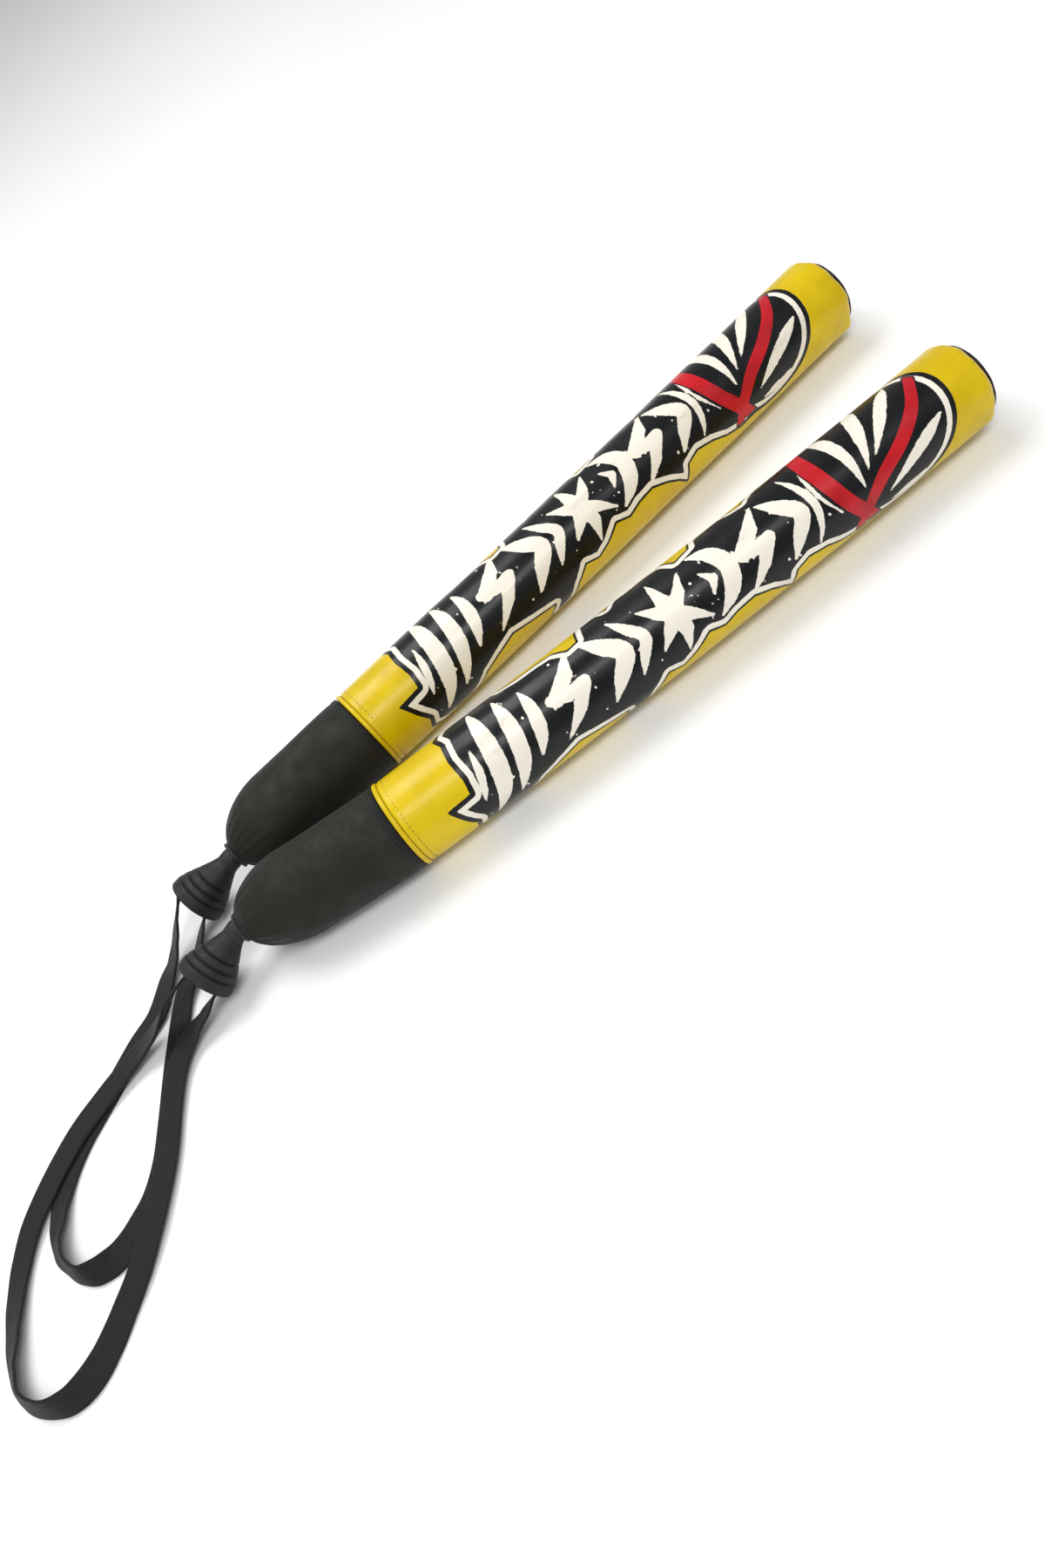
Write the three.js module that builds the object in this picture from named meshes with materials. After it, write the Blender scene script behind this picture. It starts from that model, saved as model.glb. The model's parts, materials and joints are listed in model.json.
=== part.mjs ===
// A pair of focus training sticks, lying side by side on a flat surface.
//
// Each stick is a foam-padded tube in a sewn cover: a printed striking cover, a plain grip
// cover drawn in to a narrow neck, and a ribbed rubber pommel that hangs from the neck on a
// flexible link and carries a loop of flat webbing for the wrist.
//
// Millimetres, +Z up, +X towards the tips. The origin is on the surface the sticks lie on,
// below the middle of the pair without its wrist straps. Each stick is built straight along
// its own X axis, with x = 0 at the joint of the two covers, and then bent to its centre line.

import * as THREE from 'three';

// ---- driving sizes --------------------------------------------------------------------
const BODY_R = 28;            // radius over the covers
const COVER_L = 418;          // striking cover, from the joint to the turned-in tip edge
const GRIP_L = 110;           // grip cover, from the joint to its mouth
const COVER_WALL = 1.0;       // coated fabric and its lining
const GAP = 0.3;              // clearance between pieces that touch

const TUBE_R = 12.5;          // core tube
const TUBE_WALL = 2.2;
const TUBE_TIP_SET = 22;      // how far the core tube stops short of the tip and of the mouth
const TUBE_GRIP_SET = 24;
const PLUG_L = 22;            // length of each plug inside the tube
const FLANGE_T = 3;           // flange of each plug, over the tube's end

const TIP_FILLET = 5;         // rounding of the tip edge
const TIP_TURN_IN = 1.2;      // width of the edge turned in over the tip
const TIP_PAD_T = 13;         // soft pad under the tip disc
const DISC_T = 2.6;           // tip disc, and how far it domes outwards
const DISC_DOME = 2.4;
const PIPING_R = 0.9;         // cord piped round the tip disc
const WELT_W = 2.8;           // folded hem where the two covers are joined
const WELT_T = 1.0;
const SEAM_W_DEG = 8;         // lengthwise seam tape of the striking cover
const SEAM_T = 0.5;
const SEAM_PLACE_DEG = 118;   // from straight down, round the side that faces the other stick

const SHOULDER_L = 41;        // the rounded end of the grip
const MOUTH_R = 9.0;          // outer radius of the grip cover's mouth
const BINDING_L = 1.8;        // tie round the mouth
const BINDING_R = 9.7;
const BINDING_BORE_R = 8.3;
const NECK_L = 4.5;           // from the mouth to where the neck flexes

const LINK_R = 2.3;           // flexible link between the grip and the pommel
const LINK_BORE_R = 4.2;
const LINK_MOUTH_R = 5.3;     // the bore opens out towards the grip, so that the link can turn
const LINK_L = 13;            // how far the link reaches into the pommel
const FERRULE_R = 5.6;
const FERRULE_L = 5;
const FERRULE_GRIP = 2;       // how far it holds the link

const BELL_L = 36;            // pommel, from the hinge to the rim
const BELL_TOP_R = 7.0;
const BELL_NECK_L = 5;
const BELL_RIM_R = 18;
const BELL_LIP_L = 6;         // straight lip at the rim
const BELL_LIP_WALL = 1.5;
const BELL_WALL = 2.6;
const BELL_TOP_CUT = 4;       // the top is cut off this far above the hinge
const GROOVES = [8, 13, 18.5]; // above the rim
const GROOVE_W = 1.6;
const GROOVE_D = 0.9;

const PLATE_T = 2.6;          // slotted plate inside the rim
const PLATE_RECESS = 1.8;
const STRAP_W = 16;           // wrist strap webbing
const STRAP_T = 1.8;
const SLOT_CLEAR = 0.45;      // between the webbing and its slot, all round
const SLOT_OFFSET = 10.2;     // each slot's distance from the pommel's axis
const STRAP_PIN_R = 1.2;      // pin sewn into each end of the webbing
const STRAP_PIN_L = 12;
const STRAP_STEPS = 54;

const HINGE_X = -(GRIP_L + NECK_L);
const TUBE_TIP_END = COVER_L - TUBE_TIP_SET;
const TUBE_GRIP_END = GRIP_L - TUBE_GRIP_SET;
const SIDES = 20;             // sides of a turned piece, with a flat one underneath
const BEND_RUN = 24;          // length over which the grip turns
// where a bent piece has its stations along x
const STATIONS = [-BEND_RUN, -BEND_RUN / 2, 0, ...[1, 2, 3].map((i) => (i * COVER_L) / 4)];

// ---- the two sticks -------------------------------------------------------------------
// joint: where the covers meet; yaw: direction of the striking cover; bow: how far the
// middle of the striking cover stands out sideways; gripBend: turn of the grip; pommelYaw
// and pommelDroop: how the pommel hangs at its neck; seamSide: which side the seam is on
// (1 for the right, -1 for the left, looking towards the tip).
const STICKS = [
  {
    name: 'rear', joint: [-202.5, BODY_R + 12.4], yaw: 4.2, bow: -1.2, gripBend: 0,
    pommelYaw: -4, pommelDroop: 12, pommelRoll: 45, seamSide: -1,
  },
  {
    name: 'front', joint: [-223, -(BODY_R + 12.2)], yaw: -4.2, bow: -4.2, gripBend: 8,
    pommelYaw: 21, pommelDroop: 13, pommelRoll: 45, seamSide: -1,
  },
];

// Wrist strap routes, from one slot round to the other: [x, y, height of the lower edge
// over the surface, tilt from lying flat in degrees], outside the pommel and from its hinge.
const STRAP_ROUTES = {
  rear: [
    [-50, 1, 15, -42], [-60, -7, 9, -34], [-70, -14, 4, -24], [-81, -20, 1.5, -12],
    [-96, -33, 0.2, -4], [-116, -42, 0.2, -2], [-144, -58, 0.2, 0], [-172, -74, 0.2, -1],
    [-189, -90, 0.2, -4], [-198, -107, 0.2, -18], [-202, -125, 0.2, -42],
    [-199, -139, 0.2, -60], [-193, -150, 0.2, -64], [-183, -155, 0.2, -46],
    [-169, -154, 0.2, -20], [-156, -147, 0.2, -6], [-142, -138, 0.2, -1], [-129, -124, 0.2, 0],
    [-116, -103, 0.2, 0], [-103, -80, 0.2, 0], [-89, -57, 0.2, 3], [-73, -34, 0.2, 11],
    [-60, -25, 0.3, 20], [-50, -17, 2.5, 36],
  ],
  front: [
    [-52, -4, 22, -42], [-66, -3, 15, -30], [-81, -3, 8.5, -18], [-101, -3, 4.4, -6],
    [-125, -8, 3.2, 0], [-147, -15, 3, 0], [-164, -24, 3, 0], [-180, -35, 3.2, 0],
    [-195, -47, 2.6, -2], [-207, -61, 1, -6], [-217, -79, 0.2, -14], [-224, -99, 0.2, -26],
    [-228, -119, 0.2, -44], [-225, -137, 0.2, -62], [-214, -150, 0.2, -66],
    [-200, -155, 0.2, -52], [-187, -152, 0.2, -32], [-174, -144, 0.3, -16],
    [-160, -133, 0.8, -8], [-145, -121, 2, -3], [-131, -107, 3.2, 0], [-117, -90, 3.2, 0],
    [-105, -73, 3, 0], [-95, -55, 3, 0], [-84, -37, 3.2, 0], [-74, -26, 3.6, 2],
    [-62, -19, 4, 8], [-49, -17, 5, 26],
  ],
};

// ---- colours --------------------------------------------------------------------------
const finish = (color, roughness, metalness = 0) =>
  new THREE.MeshStandardMaterial({ color, roughness, metalness });
const MATERIAL = {
  printed: () => finish(0xd9b800, 0.35),
  black: () => finish(0x101114, 0.5),
  grip: () => finish(0x2f302d, 0.75),
  rubber: () => finish(0x2b2c2b, 0.8),
  webbing: () => finish(0x252725, 0.9),
  foam: () => finish(0x55585c, 0.95),
  plastic: () => finish(0xc9c9c4, 0.5),
  tube: () => finish(0xb8bcc0, 0.45),
  steel: () => finish(0xa6a8ab, 0.3, 1),
};

// ---- shared geometry helpers ----------------------------------------------------------
const radians = THREE.MathUtils.degToRad;

/** Turns every face outwards: a closed mesh with its faces inwards has a negative volume. */
function faceOutwards(geometry) {
  const place = geometry.attributes.position;
  const index = geometry.index ? [...geometry.index.array] : [...Array(place.count).keys()];
  const [a, b, c] = [0, 1, 2].map(() => new THREE.Vector3());
  let volume = 0;
  for (let i = 0; i < index.length; i += 3) {
    a.fromBufferAttribute(place, index[i]);
    b.fromBufferAttribute(place, index[i + 1]);
    c.fromBufferAttribute(place, index[i + 2]);
    volume += a.dot(b.cross(c));
  }
  if (volume < 0) {
    for (let i = 0; i < index.length; i += 3) [index[i], index[i + 1]] = [index[i + 1], index[i]];
  }
  geometry.setIndex(index);
  return geometry;
}

/** Adds the stations that the steps of an outline pass, so that the piece can bend. */
function withStations(outline, stations) {
  return outline.flatMap(([x, r], i) => {
    if (i === 0) return [[x, r]];
    const [x0, r0] = outline[i - 1];
    const passed = stations.filter((s) => (s - x0) * (s - x) < -0.25);
    if (x < x0) passed.reverse();
    return [...passed.map((s) => [s, r0 + ((r - r0) * (s - x0)) / (x - x0)]), [x, r]];
  });
}

/** Turns an outline of [x, radius] about the X axis; its flats touch the stated radius. */
function turned(outline, sides = SIDES, stations = STATIONS) {
  const reach = 1 / Math.cos(Math.PI / sides);
  const profile = withStations(outline, stations)
    .map(([x, r]) => new THREE.Vector2(r * reach, x));
  const geometry = new THREE.LatheGeometry(profile, sides, Math.PI / sides);
  return faceOutwards(geometry.rotateZ(-Math.PI / 2));
}

/** A sleeve: the outer outline there, the inner outline back, closed on itself. */
const sleeve = (outer, inner, sides) => turned([...outer, ...inner.toReversed(), outer[0]], sides);

/** A plain tube or ring between two places on the axis. */
const ring = (x0, x1, inner, outer, sides) =>
  sleeve([[x0, outer], [x1, outer]], [[x0, inner], [x1, inner]], sides);

/** Points of an arc of [x, radius] about a centre, angles in degrees from +X. */
function arc([cx, cr], radius, from, to, steps) {
  return Array.from({ length: steps + 1 }, (_, i) => {
    const angle = radians(from + ((to - from) * i) / steps);
    return [cx + radius * Math.cos(angle), cr + radius * Math.sin(angle)];
  });
}

/** The stick's centre line at x: its sideways offset, and the direction it runs in. */
function centreLine(stick, x) {
  if (x >= 0) {
    const u = x / COVER_L;
    return { y: stick.bow * 4 * u * (1 - u), slope: (stick.bow * 4 * (1 - 2 * u)) / COVER_L };
  }
  const start = (stick.bow * 4) / COVER_L;
  const end = stick.gripBend ? -Math.tan(radians(stick.gripBend)) : start;
  const turnedRun = Math.min(-x, BEND_RUN);
  const slope = start + ((end - start) * turnedRun) / BEND_RUN;
  return { y: -((start + slope) / 2) * turnedRun - end * (-x - turnedRun), slope };
}

/** Moves a straight piece onto the stick's centre line. */
function bent(stick, geometry) {
  const place = geometry.attributes.position;
  for (let i = 0; i < place.count; i++) {
    const x = place.getX(i);
    const side = place.getY(i);
    const { y, slope } = centreLine(stick, x);
    const length = Math.hypot(1, slope);
    place.setXYZ(i, x - (side * slope) / length, y + side / length, place.getZ(i));
  }
  return geometry;
}

function named(name, geometry, material) {
  const mesh = new THREE.Mesh(geometry, material());
  mesh.name = name;
  return mesh;
}

// ---- shapes shared by the covers and the foam inside them --------------------------------
/**
 * The outside of the grip, set in by an allowance, from the joint to an end near its mouth.
 * Every layer has the same stations along the shoulder, so that their walls stay apart.
 */
function gripOutline(from, inset, end, steps = 7) {
  const start = -(GRIP_L - SHOULDER_L);
  const reach = SHOULDER_L / Math.sqrt(1 - (MOUTH_R / BODY_R) ** 2);
  const outline = [[from, BODY_R - inset], [start, BODY_R - inset]];
  for (let i = 1; i <= steps; i++) {
    const [x0, r0] = outline.at(-1);
    const x = start - (SHOULDER_L * i) / steps;
    const r = Math.sqrt(1 - ((start - x) / reach) ** 2) * BODY_R - inset;
    if (x <= end) return [...outline, [end, r0 + ((r - r0) * (end - x0)) / (x - x0)]];
    outline.push([x, r]);
  }
  return outline;
}

/** The pommel's outside radius at u, the distance from its hinge towards its rim. */
function bellRadius(u) {
  if (u <= BELL_NECK_L) return BELL_TOP_R;
  const lip = BELL_L - BELL_LIP_L;
  if (u >= lip) return BELL_RIM_R - 0.4 + (0.4 * (u - lip)) / BELL_LIP_L;
  const t = (u - BELL_NECK_L) / (lip - BELL_NECK_L);
  return BELL_TOP_R + (BELL_RIM_R - 0.4 - BELL_TOP_R) * (0.75 * t + 0.25 * t * t * (3 - 2 * t));
}

// ---- pieces of the stick ------------------------------------------------------------------
const tubeBore = TUBE_R - TUBE_WALL;
const foamBore = TUBE_R + GAP;
const foamR = BODY_R - COVER_WALL - GAP;
const tipInner = COVER_L - COVER_WALL;
const tipHoleR = BODY_R - TIP_FILLET - TIP_TURN_IN;
const padEnd = COVER_L - DISC_T - GAP;
const padStart = padEnd - TIP_PAD_T;

const coreTube = () => ring(-TUBE_GRIP_END, TUBE_TIP_END, tubeBore, TUBE_R);

function tipPlug() {
  const end = TUBE_TIP_END;
  return turned([
    [end - PLUG_L, 0], [end - PLUG_L, tubeBore - GAP], [end + GAP, tubeBore - GAP],
    [end + GAP, TUBE_R], [end + GAP + FLANGE_T, TUBE_R], [end + GAP + FLANGE_T, 0],
  ]);
}

const strikeFoam = () => ring(GAP, padStart - GAP, foamBore, foamR);

function tipPad() {
  const end = padEnd;
  return turned([
    [padStart, 0], [padStart, foamR - 0.5],
    ...arc([end - TIP_FILLET, foamR - 0.5 - TIP_FILLET], TIP_FILLET, 90, 0, 3),
    [end, 0],
  ]);
}

/** The printed cover: a tube whose tip edge is rounded and turned in over the tip. */
function strikeCover() {
  const start = WELT_W + 2 * GAP;
  const inside = BODY_R - COVER_WALL;
  const corner = [COVER_L - TIP_FILLET, BODY_R - TIP_FILLET];
  return sleeve(
    [[start, BODY_R], ...arc(corner, TIP_FILLET, 90, 0, 3), [COVER_L, tipHoleR]],
    [[start, inside], ...arc(corner, TIP_FILLET - COVER_WALL, 90, 0, 3), [tipInner, tipHoleR]],
  );
}

/** Tape along the striking cover's lengthwise seam. */
function seamTape(stick) {
  const r0 = BODY_R / Math.cos(Math.PI / SIDES) + GAP;
  const half = radians(SEAM_W_DEG) / 2;
  const shape = new THREE.Shape();
  shape.absarc(0, 0, r0 + SEAM_T, -half, half, false);
  shape.absarc(0, 0, r0, half, -half, true);
  const from = WELT_W + 3 * GAP;
  const depth = COVER_L - TIP_FILLET - from;
  const geometry = new THREE.ExtrudeGeometry(shape, {
    depth, steps: STATIONS.length + 2, bevelEnabled: false, curveSegments: 2,
  });
  geometry.rotateY(Math.PI / 2).translate(from, 0, 0);
  return geometry.rotateX(-stick.seamSide * radians(180 - SEAM_PLACE_DEG));
}

function tipDisc() {
  const face = COVER_L - DISC_T;
  const radius = tipHoleR - GAP;
  const bulge = (radius ** 2 + DISC_DOME ** 2) / (2 * DISC_DOME);
  const dome = Array.from({ length: 4 }, (_, i) => {
    const r = (radius * (3 - i)) / 4;
    return [COVER_L + DISC_DOME - bulge + Math.sqrt(bulge ** 2 - r ** 2), Math.max(r, 0)];
  });
  return turned([[face, 0], [face, radius], [COVER_L, radius], ...dome]);
}

function tipPiping() {
  const centre = [COVER_L + GAP + PIPING_R, tipHoleR + PIPING_R];
  return turned(arc(centre, PIPING_R, 0, 360, 6));
}

const jointWelt = () => ring(GAP, GAP + WELT_W, BODY_R - WELT_T, BODY_R);

function gripCover() {
  const end = -GRIP_L;
  return sleeve(
    gripOutline(-GAP, 0, end),
    gripOutline(-GAP, COVER_WALL, end),
  );
}

function gripFoam() {
  const inset = COVER_WALL + GAP;
  const end = -(GRIP_L - 5);
  const plugEnd = -(TUBE_GRIP_END + FLANGE_T + 2 * GAP);
  return sleeve(
    gripOutline(-GAP, inset, end),
    [[-GAP, foamBore], [plugEnd, foamBore], [plugEnd - 0.01, LINK_BORE_R], [end, LINK_BORE_R + 2]],
  );
}

const neckBinding = () =>
  ring(-(GRIP_L + GAP + BINDING_L), -(GRIP_L + GAP), BINDING_BORE_R, BINDING_R);

/** Plug in the grip end of the tube, with a blind hole for the flexible link. */
function endPlug() {
  const end = -(TUBE_GRIP_END + GAP);
  const face = end - FLANGE_T;
  const hole = end + PLUG_L / 2;
  return turned([
    [end + PLUG_L, 0], [end + PLUG_L, tubeBore - GAP], [end, tubeBore - GAP], [end, TUBE_R],
    [face, TUBE_R], [face, LINK_R + GAP], [hole, LINK_R + GAP], [hole, 0],
  ]);
}

// ---- pieces of the pommel, along its own X axis from the hinge (0) to the rim (-BELL_L) -------
const plateOuter = BELL_L - PLATE_RECESS;
const plateR = BELL_RIM_R - BELL_LIP_WALL - GAP - 0.4;
const cavityDeep = BELL_L - PLATE_RECESS - PLATE_T - 7;

function pommelBell() {
  const cut = Math.sqrt(BELL_TOP_R ** 2 - BELL_TOP_CUT ** 2);
  const dome = Array.from({ length: 4 }, (_, i) => {
    const u = -BELL_TOP_CUT + (BELL_TOP_CUT * i) / 4;
    return [u, Math.max(cut, Math.sqrt(BELL_TOP_R ** 2 - u ** 2))];
  });
  const flare = [];
  const between = [BELL_NECK_L, 10, 15].map((u) => [u, bellRadius(u)]);
  for (const above of GROOVES.toReversed()) {
    const u = BELL_L - above;
    const half = GROOVE_W / 2;
    flare.push([u - half, bellRadius(u - half)], [u - half * 0.4, bellRadius(u) - GROOVE_D]);
    flare.push([u + half * 0.4, bellRadius(u) - GROOVE_D], [u + half, bellRadius(u + half)]);
  }
  const rim = [[BELL_L - BELL_LIP_L, bellRadius(BELL_L - BELL_LIP_L)],
    [BELL_L - 0.8, BELL_RIM_R], [BELL_L, BELL_RIM_R - 0.8]];
  const seat = plateR + GAP;
  const ferruleStart = LINK_L - FERRULE_GRIP;
  const inside = [
    [BELL_L, seat], [plateOuter - PLATE_T - GAP, seat],
    [plateOuter - PLATE_T - GAP, seat - 1.4], [cavityDeep, bellRadius(cavityDeep) - BELL_WALL],
    [ferruleStart + FERRULE_L + GAP, FERRULE_R + GAP], [ferruleStart - GAP, FERRULE_R + GAP],
    [ferruleStart - GAP, LINK_BORE_R], [1, LINK_BORE_R], [-BELL_TOP_CUT, LINK_MOUTH_R],
  ];
  const outline = [...dome, ...between, ...flare, ...rim, ...inside, dome[0]];
  return turned(outline.map(([u, r]) => [-u, r]), SIDES, []);
}

function rounded(width, height, radius) {
  const [w, h] = [width / 2, height / 2];
  const path = new THREE.Path();
  path.moveTo(-w + radius, -h).lineTo(w - radius, -h);
  path.absarc(w - radius, -h + radius, radius, -Math.PI / 2, 0, false);
  path.absarc(w - radius, h - radius, radius, 0, Math.PI / 2, false);
  path.absarc(-w + radius, h - radius, radius, Math.PI / 2, Math.PI, false);
  path.absarc(-w + radius, -h + radius, radius, Math.PI, Math.PI * 1.5, false);
  return path;
}

/** The plate in the rim: a disc with one slot for each end of the webbing. */
function strapPlate() {
  const shape = new THREE.Shape();
  shape.absarc(0, 0, plateR, 0, Math.PI * 2, false);
  const slotW = STRAP_W + 2 * SLOT_CLEAR;
  const slotT = STRAP_T + 2 * SLOT_CLEAR;
  for (const side of [-1, 1]) {
    const corners = rounded(slotW, slotT, slotT * 0.4).getPoints(2);
    shape.holes.push(new THREE.Path(corners.map(
      (p) => new THREE.Vector2(p.x, p.y + side * SLOT_OFFSET),
    )));
  }
  const geometry = new THREE.ExtrudeGeometry(shape, {
    depth: PLATE_T, bevelEnabled: false, curveSegments: SIDES / 2,
  });
  return geometry.rotateY(Math.PI / 2).translate(-plateOuter, 0, 0);
}

/** Pin sewn into one end of the webbing, just inside the plate. */
function strapPin(side) {
  const geometry = new THREE.CylinderGeometry(STRAP_PIN_R, STRAP_PIN_R, STRAP_PIN_L, 12);
  geometry.rotateX(Math.PI / 2);
  const u = plateOuter - PLATE_T - 2 * GAP - STRAP_PIN_R;
  return geometry.translate(-u, side * SLOT_OFFSET, 0);
}

/** Crimped ferrule on the link's end, seated in the pommel. */
function linkFerrule() {
  const start = LINK_L - FERRULE_GRIP;
  return turned([
    [-start, LINK_R + GAP], [-start, FERRULE_R], [-(start + FERRULE_L), FERRULE_R],
    [-(start + FERRULE_L), 0], [-(LINK_L + GAP), 0], [-(LINK_L + GAP), LINK_R + GAP],
    [-start, LINK_R + GAP],
  ], SIDES, []);
}

// ---- the wrist strap --------------------------------------------------------------------
/** A curve for flat webbing: its frames follow the tilt given at each of its points. */
class RibbonCurve extends THREE.CatmullRomCurve3 {
  constructor(points, tilts) {
    super(points, false, 'centripetal');
    this.tilts = tilts;
    this.arcLengthDivisions = 600;
  }

  tiltAt(u) {
    const place = this.getUtoTmapping(u) * (this.tilts.length - 1);
    const i = Math.min(Math.floor(place), this.tilts.length - 2);
    const t = place - i;
    return this.tilts[i] + (this.tilts[i + 1] - this.tilts[i]) * t * t * (3 - 2 * t);
  }

  computeFrenetFrames(segments) {
    const frames = { tangents: [], normals: [], binormals: [] };
    for (let i = 0; i <= segments; i++) {
      const tangent = this.getTangentAt(i / segments);
      const side = new THREE.Vector3(0, 0, 1).cross(tangent).normalize();
      const up = tangent.clone().cross(side).normalize();
      const tilt = radians(this.tiltAt(i / segments));
      const normal = up.multiplyScalar(Math.cos(tilt)).addScaledVector(side, Math.sin(tilt));
      frames.tangents.push(tangent);
      frames.normals.push(normal);
      frames.binormals.push(tangent.clone().cross(normal).normalize());
    }
    return frames;
  }
}

/** Height of the webbing's middle over its lower edge, lying at a tilt. */
const halfHeight = (tilt) =>
  (STRAP_W / 2) * Math.abs(Math.sin(radians(tilt))) + (STRAP_T / 2) * Math.cos(radians(tilt));

/** The whole route: out of the upper slot, along the surface, and back into the lower slot. */
function strapCurve(stick, pommel, hinge) {
  const route = STRAP_ROUTES[stick.name].map(([x, y, lift, tilt]) => ({
    point: new THREE.Vector3(hinge.x + x, hinge.y + y, lift + halfHeight(tilt)), tilt,
  }));
  const inside = plateOuter - PLATE_T;
  const atSlot = (side, u) => ({
    point: pommel.localToWorld(new THREE.Vector3(-u, side * SLOT_OFFSET, 0)),
    tilt: -side * stick.pommelRoll,
  });
  const all = [
    atSlot(1, inside), atSlot(1, plateOuter), atSlot(1, BELL_L + 3), ...route,
    atSlot(-1, BELL_L + 3), atSlot(-1, plateOuter), atSlot(-1, inside),
  ];
  return new RibbonCurve(all.map((p) => p.point), all.map((p) => p.tilt));
}

function wristStrap(curve) {
  const [t, w] = [STRAP_T / 2, STRAP_W / 2];
  const edge = t * 0.7;
  const section = new THREE.Shape([
    [-t, -w + edge], [-t + edge, -w], [t - edge, -w], [t, -w + edge],
    [t, w - edge], [t - edge, w], [-t + edge, w], [-t, w - edge],
  ].map(([x, y]) => new THREE.Vector2(x, y)));
  return faceOutwards(new THREE.ExtrudeGeometry(section, {
    steps: STRAP_STEPS, bevelEnabled: false, extrudePath: curve,
  }));
}

/** The flexible link: straight in the plug, turned at the hinge, straight in the pommel. */
function neckLink(stick, pommel, frame) {
  const onStick = (x) => frame.localToWorld(new THREE.Vector3(x, centreLine(stick, x).y, 0));
  const onPommel = (u) => pommel.localToWorld(new THREE.Vector3(-u, 0, 0));
  const start = -(TUBE_GRIP_END - PLUG_L / 2 + 2 * GAP);
  const path = new THREE.CatmullRomCurve3([
    onStick(start), onStick((start + HINGE_X) / 2), onStick(HINGE_X + 5),
    onPommel(4), onPommel(LINK_L),
  ], false, 'centripetal');
  const section = new THREE.Shape();
  section.absarc(0, 0, LINK_R, 0, Math.PI * 2, false);
  return faceOutwards(new THREE.ExtrudeGeometry(section, {
    steps: 16, curveSegments: 4, bevelEnabled: false, extrudePath: path,
  }));
}

// ---- assembly -----------------------------------------------------------------------------
/** One stick: its own pieces, bent to its centre line, and its pommel hanging at the neck. */
function makeStick(stick) {
  const piece = (name, geometry, material) =>
    named(`${stick.name}_${name}`, geometry, material);
  const onLine = (name, geometry, material) => piece(name, bent(stick, geometry), material);

  const frame = new THREE.Group();
  frame.position.set(stick.joint[0], stick.joint[1], BODY_R);
  frame.rotation.z = radians(stick.yaw);
  frame.add(
    onLine('core_tube', coreTube(), MATERIAL.tube),
    onLine('tip_plug', tipPlug(), MATERIAL.plastic),
    onLine('strike_foam', strikeFoam(), MATERIAL.foam),
    onLine('tip_pad', tipPad(), MATERIAL.foam),
    onLine('strike_cover', strikeCover(), MATERIAL.printed),
    onLine('cover_seam_tape', seamTape(stick), MATERIAL.printed),
    onLine('tip_disc', tipDisc(), MATERIAL.black),
    onLine('tip_piping', tipPiping(), MATERIAL.black),
    onLine('joint_welt', jointWelt(), MATERIAL.printed),
    onLine('grip_cover', gripCover(), MATERIAL.grip),
    onLine('grip_foam', gripFoam(), MATERIAL.foam),
    onLine('neck_binding', neckBinding(), MATERIAL.webbing),
    onLine('end_plug', endPlug(), MATERIAL.plastic),
  );

  const { y, slope } = centreLine(stick, HINGE_X);
  const pommel = new THREE.Group();
  pommel.rotation.order = 'ZYX';
  pommel.position.set(HINGE_X, y, 0);
  pommel.rotation.set(
    radians(stick.pommelRoll),
    -radians(stick.pommelDroop),
    Math.atan(slope) + radians(stick.pommelYaw),
  );
  pommel.add(
    piece('pommel_bell', pommelBell(), MATERIAL.rubber),
    piece('strap_plate', strapPlate(), MATERIAL.plastic),
    piece('strap_pin_upper', strapPin(1), MATERIAL.steel),
    piece('strap_pin_lower', strapPin(-1), MATERIAL.steel),
    piece('link_ferrule', linkFerrule(), MATERIAL.steel),
  );
  frame.add(pommel);
  frame.updateMatrixWorld(true);

  const hinge = pommel.getWorldPosition(new THREE.Vector3());
  const strap = piece('wrist_strap', wristStrap(strapCurve(stick, pommel, hinge)),
    MATERIAL.webbing);
  const link = piece('neck_link', neckLink(stick, pommel, frame), MATERIAL.rubber);
  return { solid: frame, loose: [link, strap] };
}

/** Puts the origin on the surface, below the middle of the pair without its straps. */
function makePair() {
  const pair = new THREE.Group();
  const sticks = STICKS.map(makeStick);
  for (const { solid, loose } of sticks) pair.add(solid, ...loose);
  const box = new THREE.Box3();
  for (const { solid } of sticks) box.expandByObject(solid, true);
  const middle = box.getCenter(new THREE.Vector3());
  pair.position.set(-middle.x, -middle.y, 0);
  return pair;
}

export default makePair();
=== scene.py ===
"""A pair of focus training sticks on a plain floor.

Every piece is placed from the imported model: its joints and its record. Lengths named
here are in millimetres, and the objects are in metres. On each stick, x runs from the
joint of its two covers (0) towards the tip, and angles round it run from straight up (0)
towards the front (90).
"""
import json
import math
import random

import bpy
import numpy as np
from mathutils import Matrix, Vector


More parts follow.
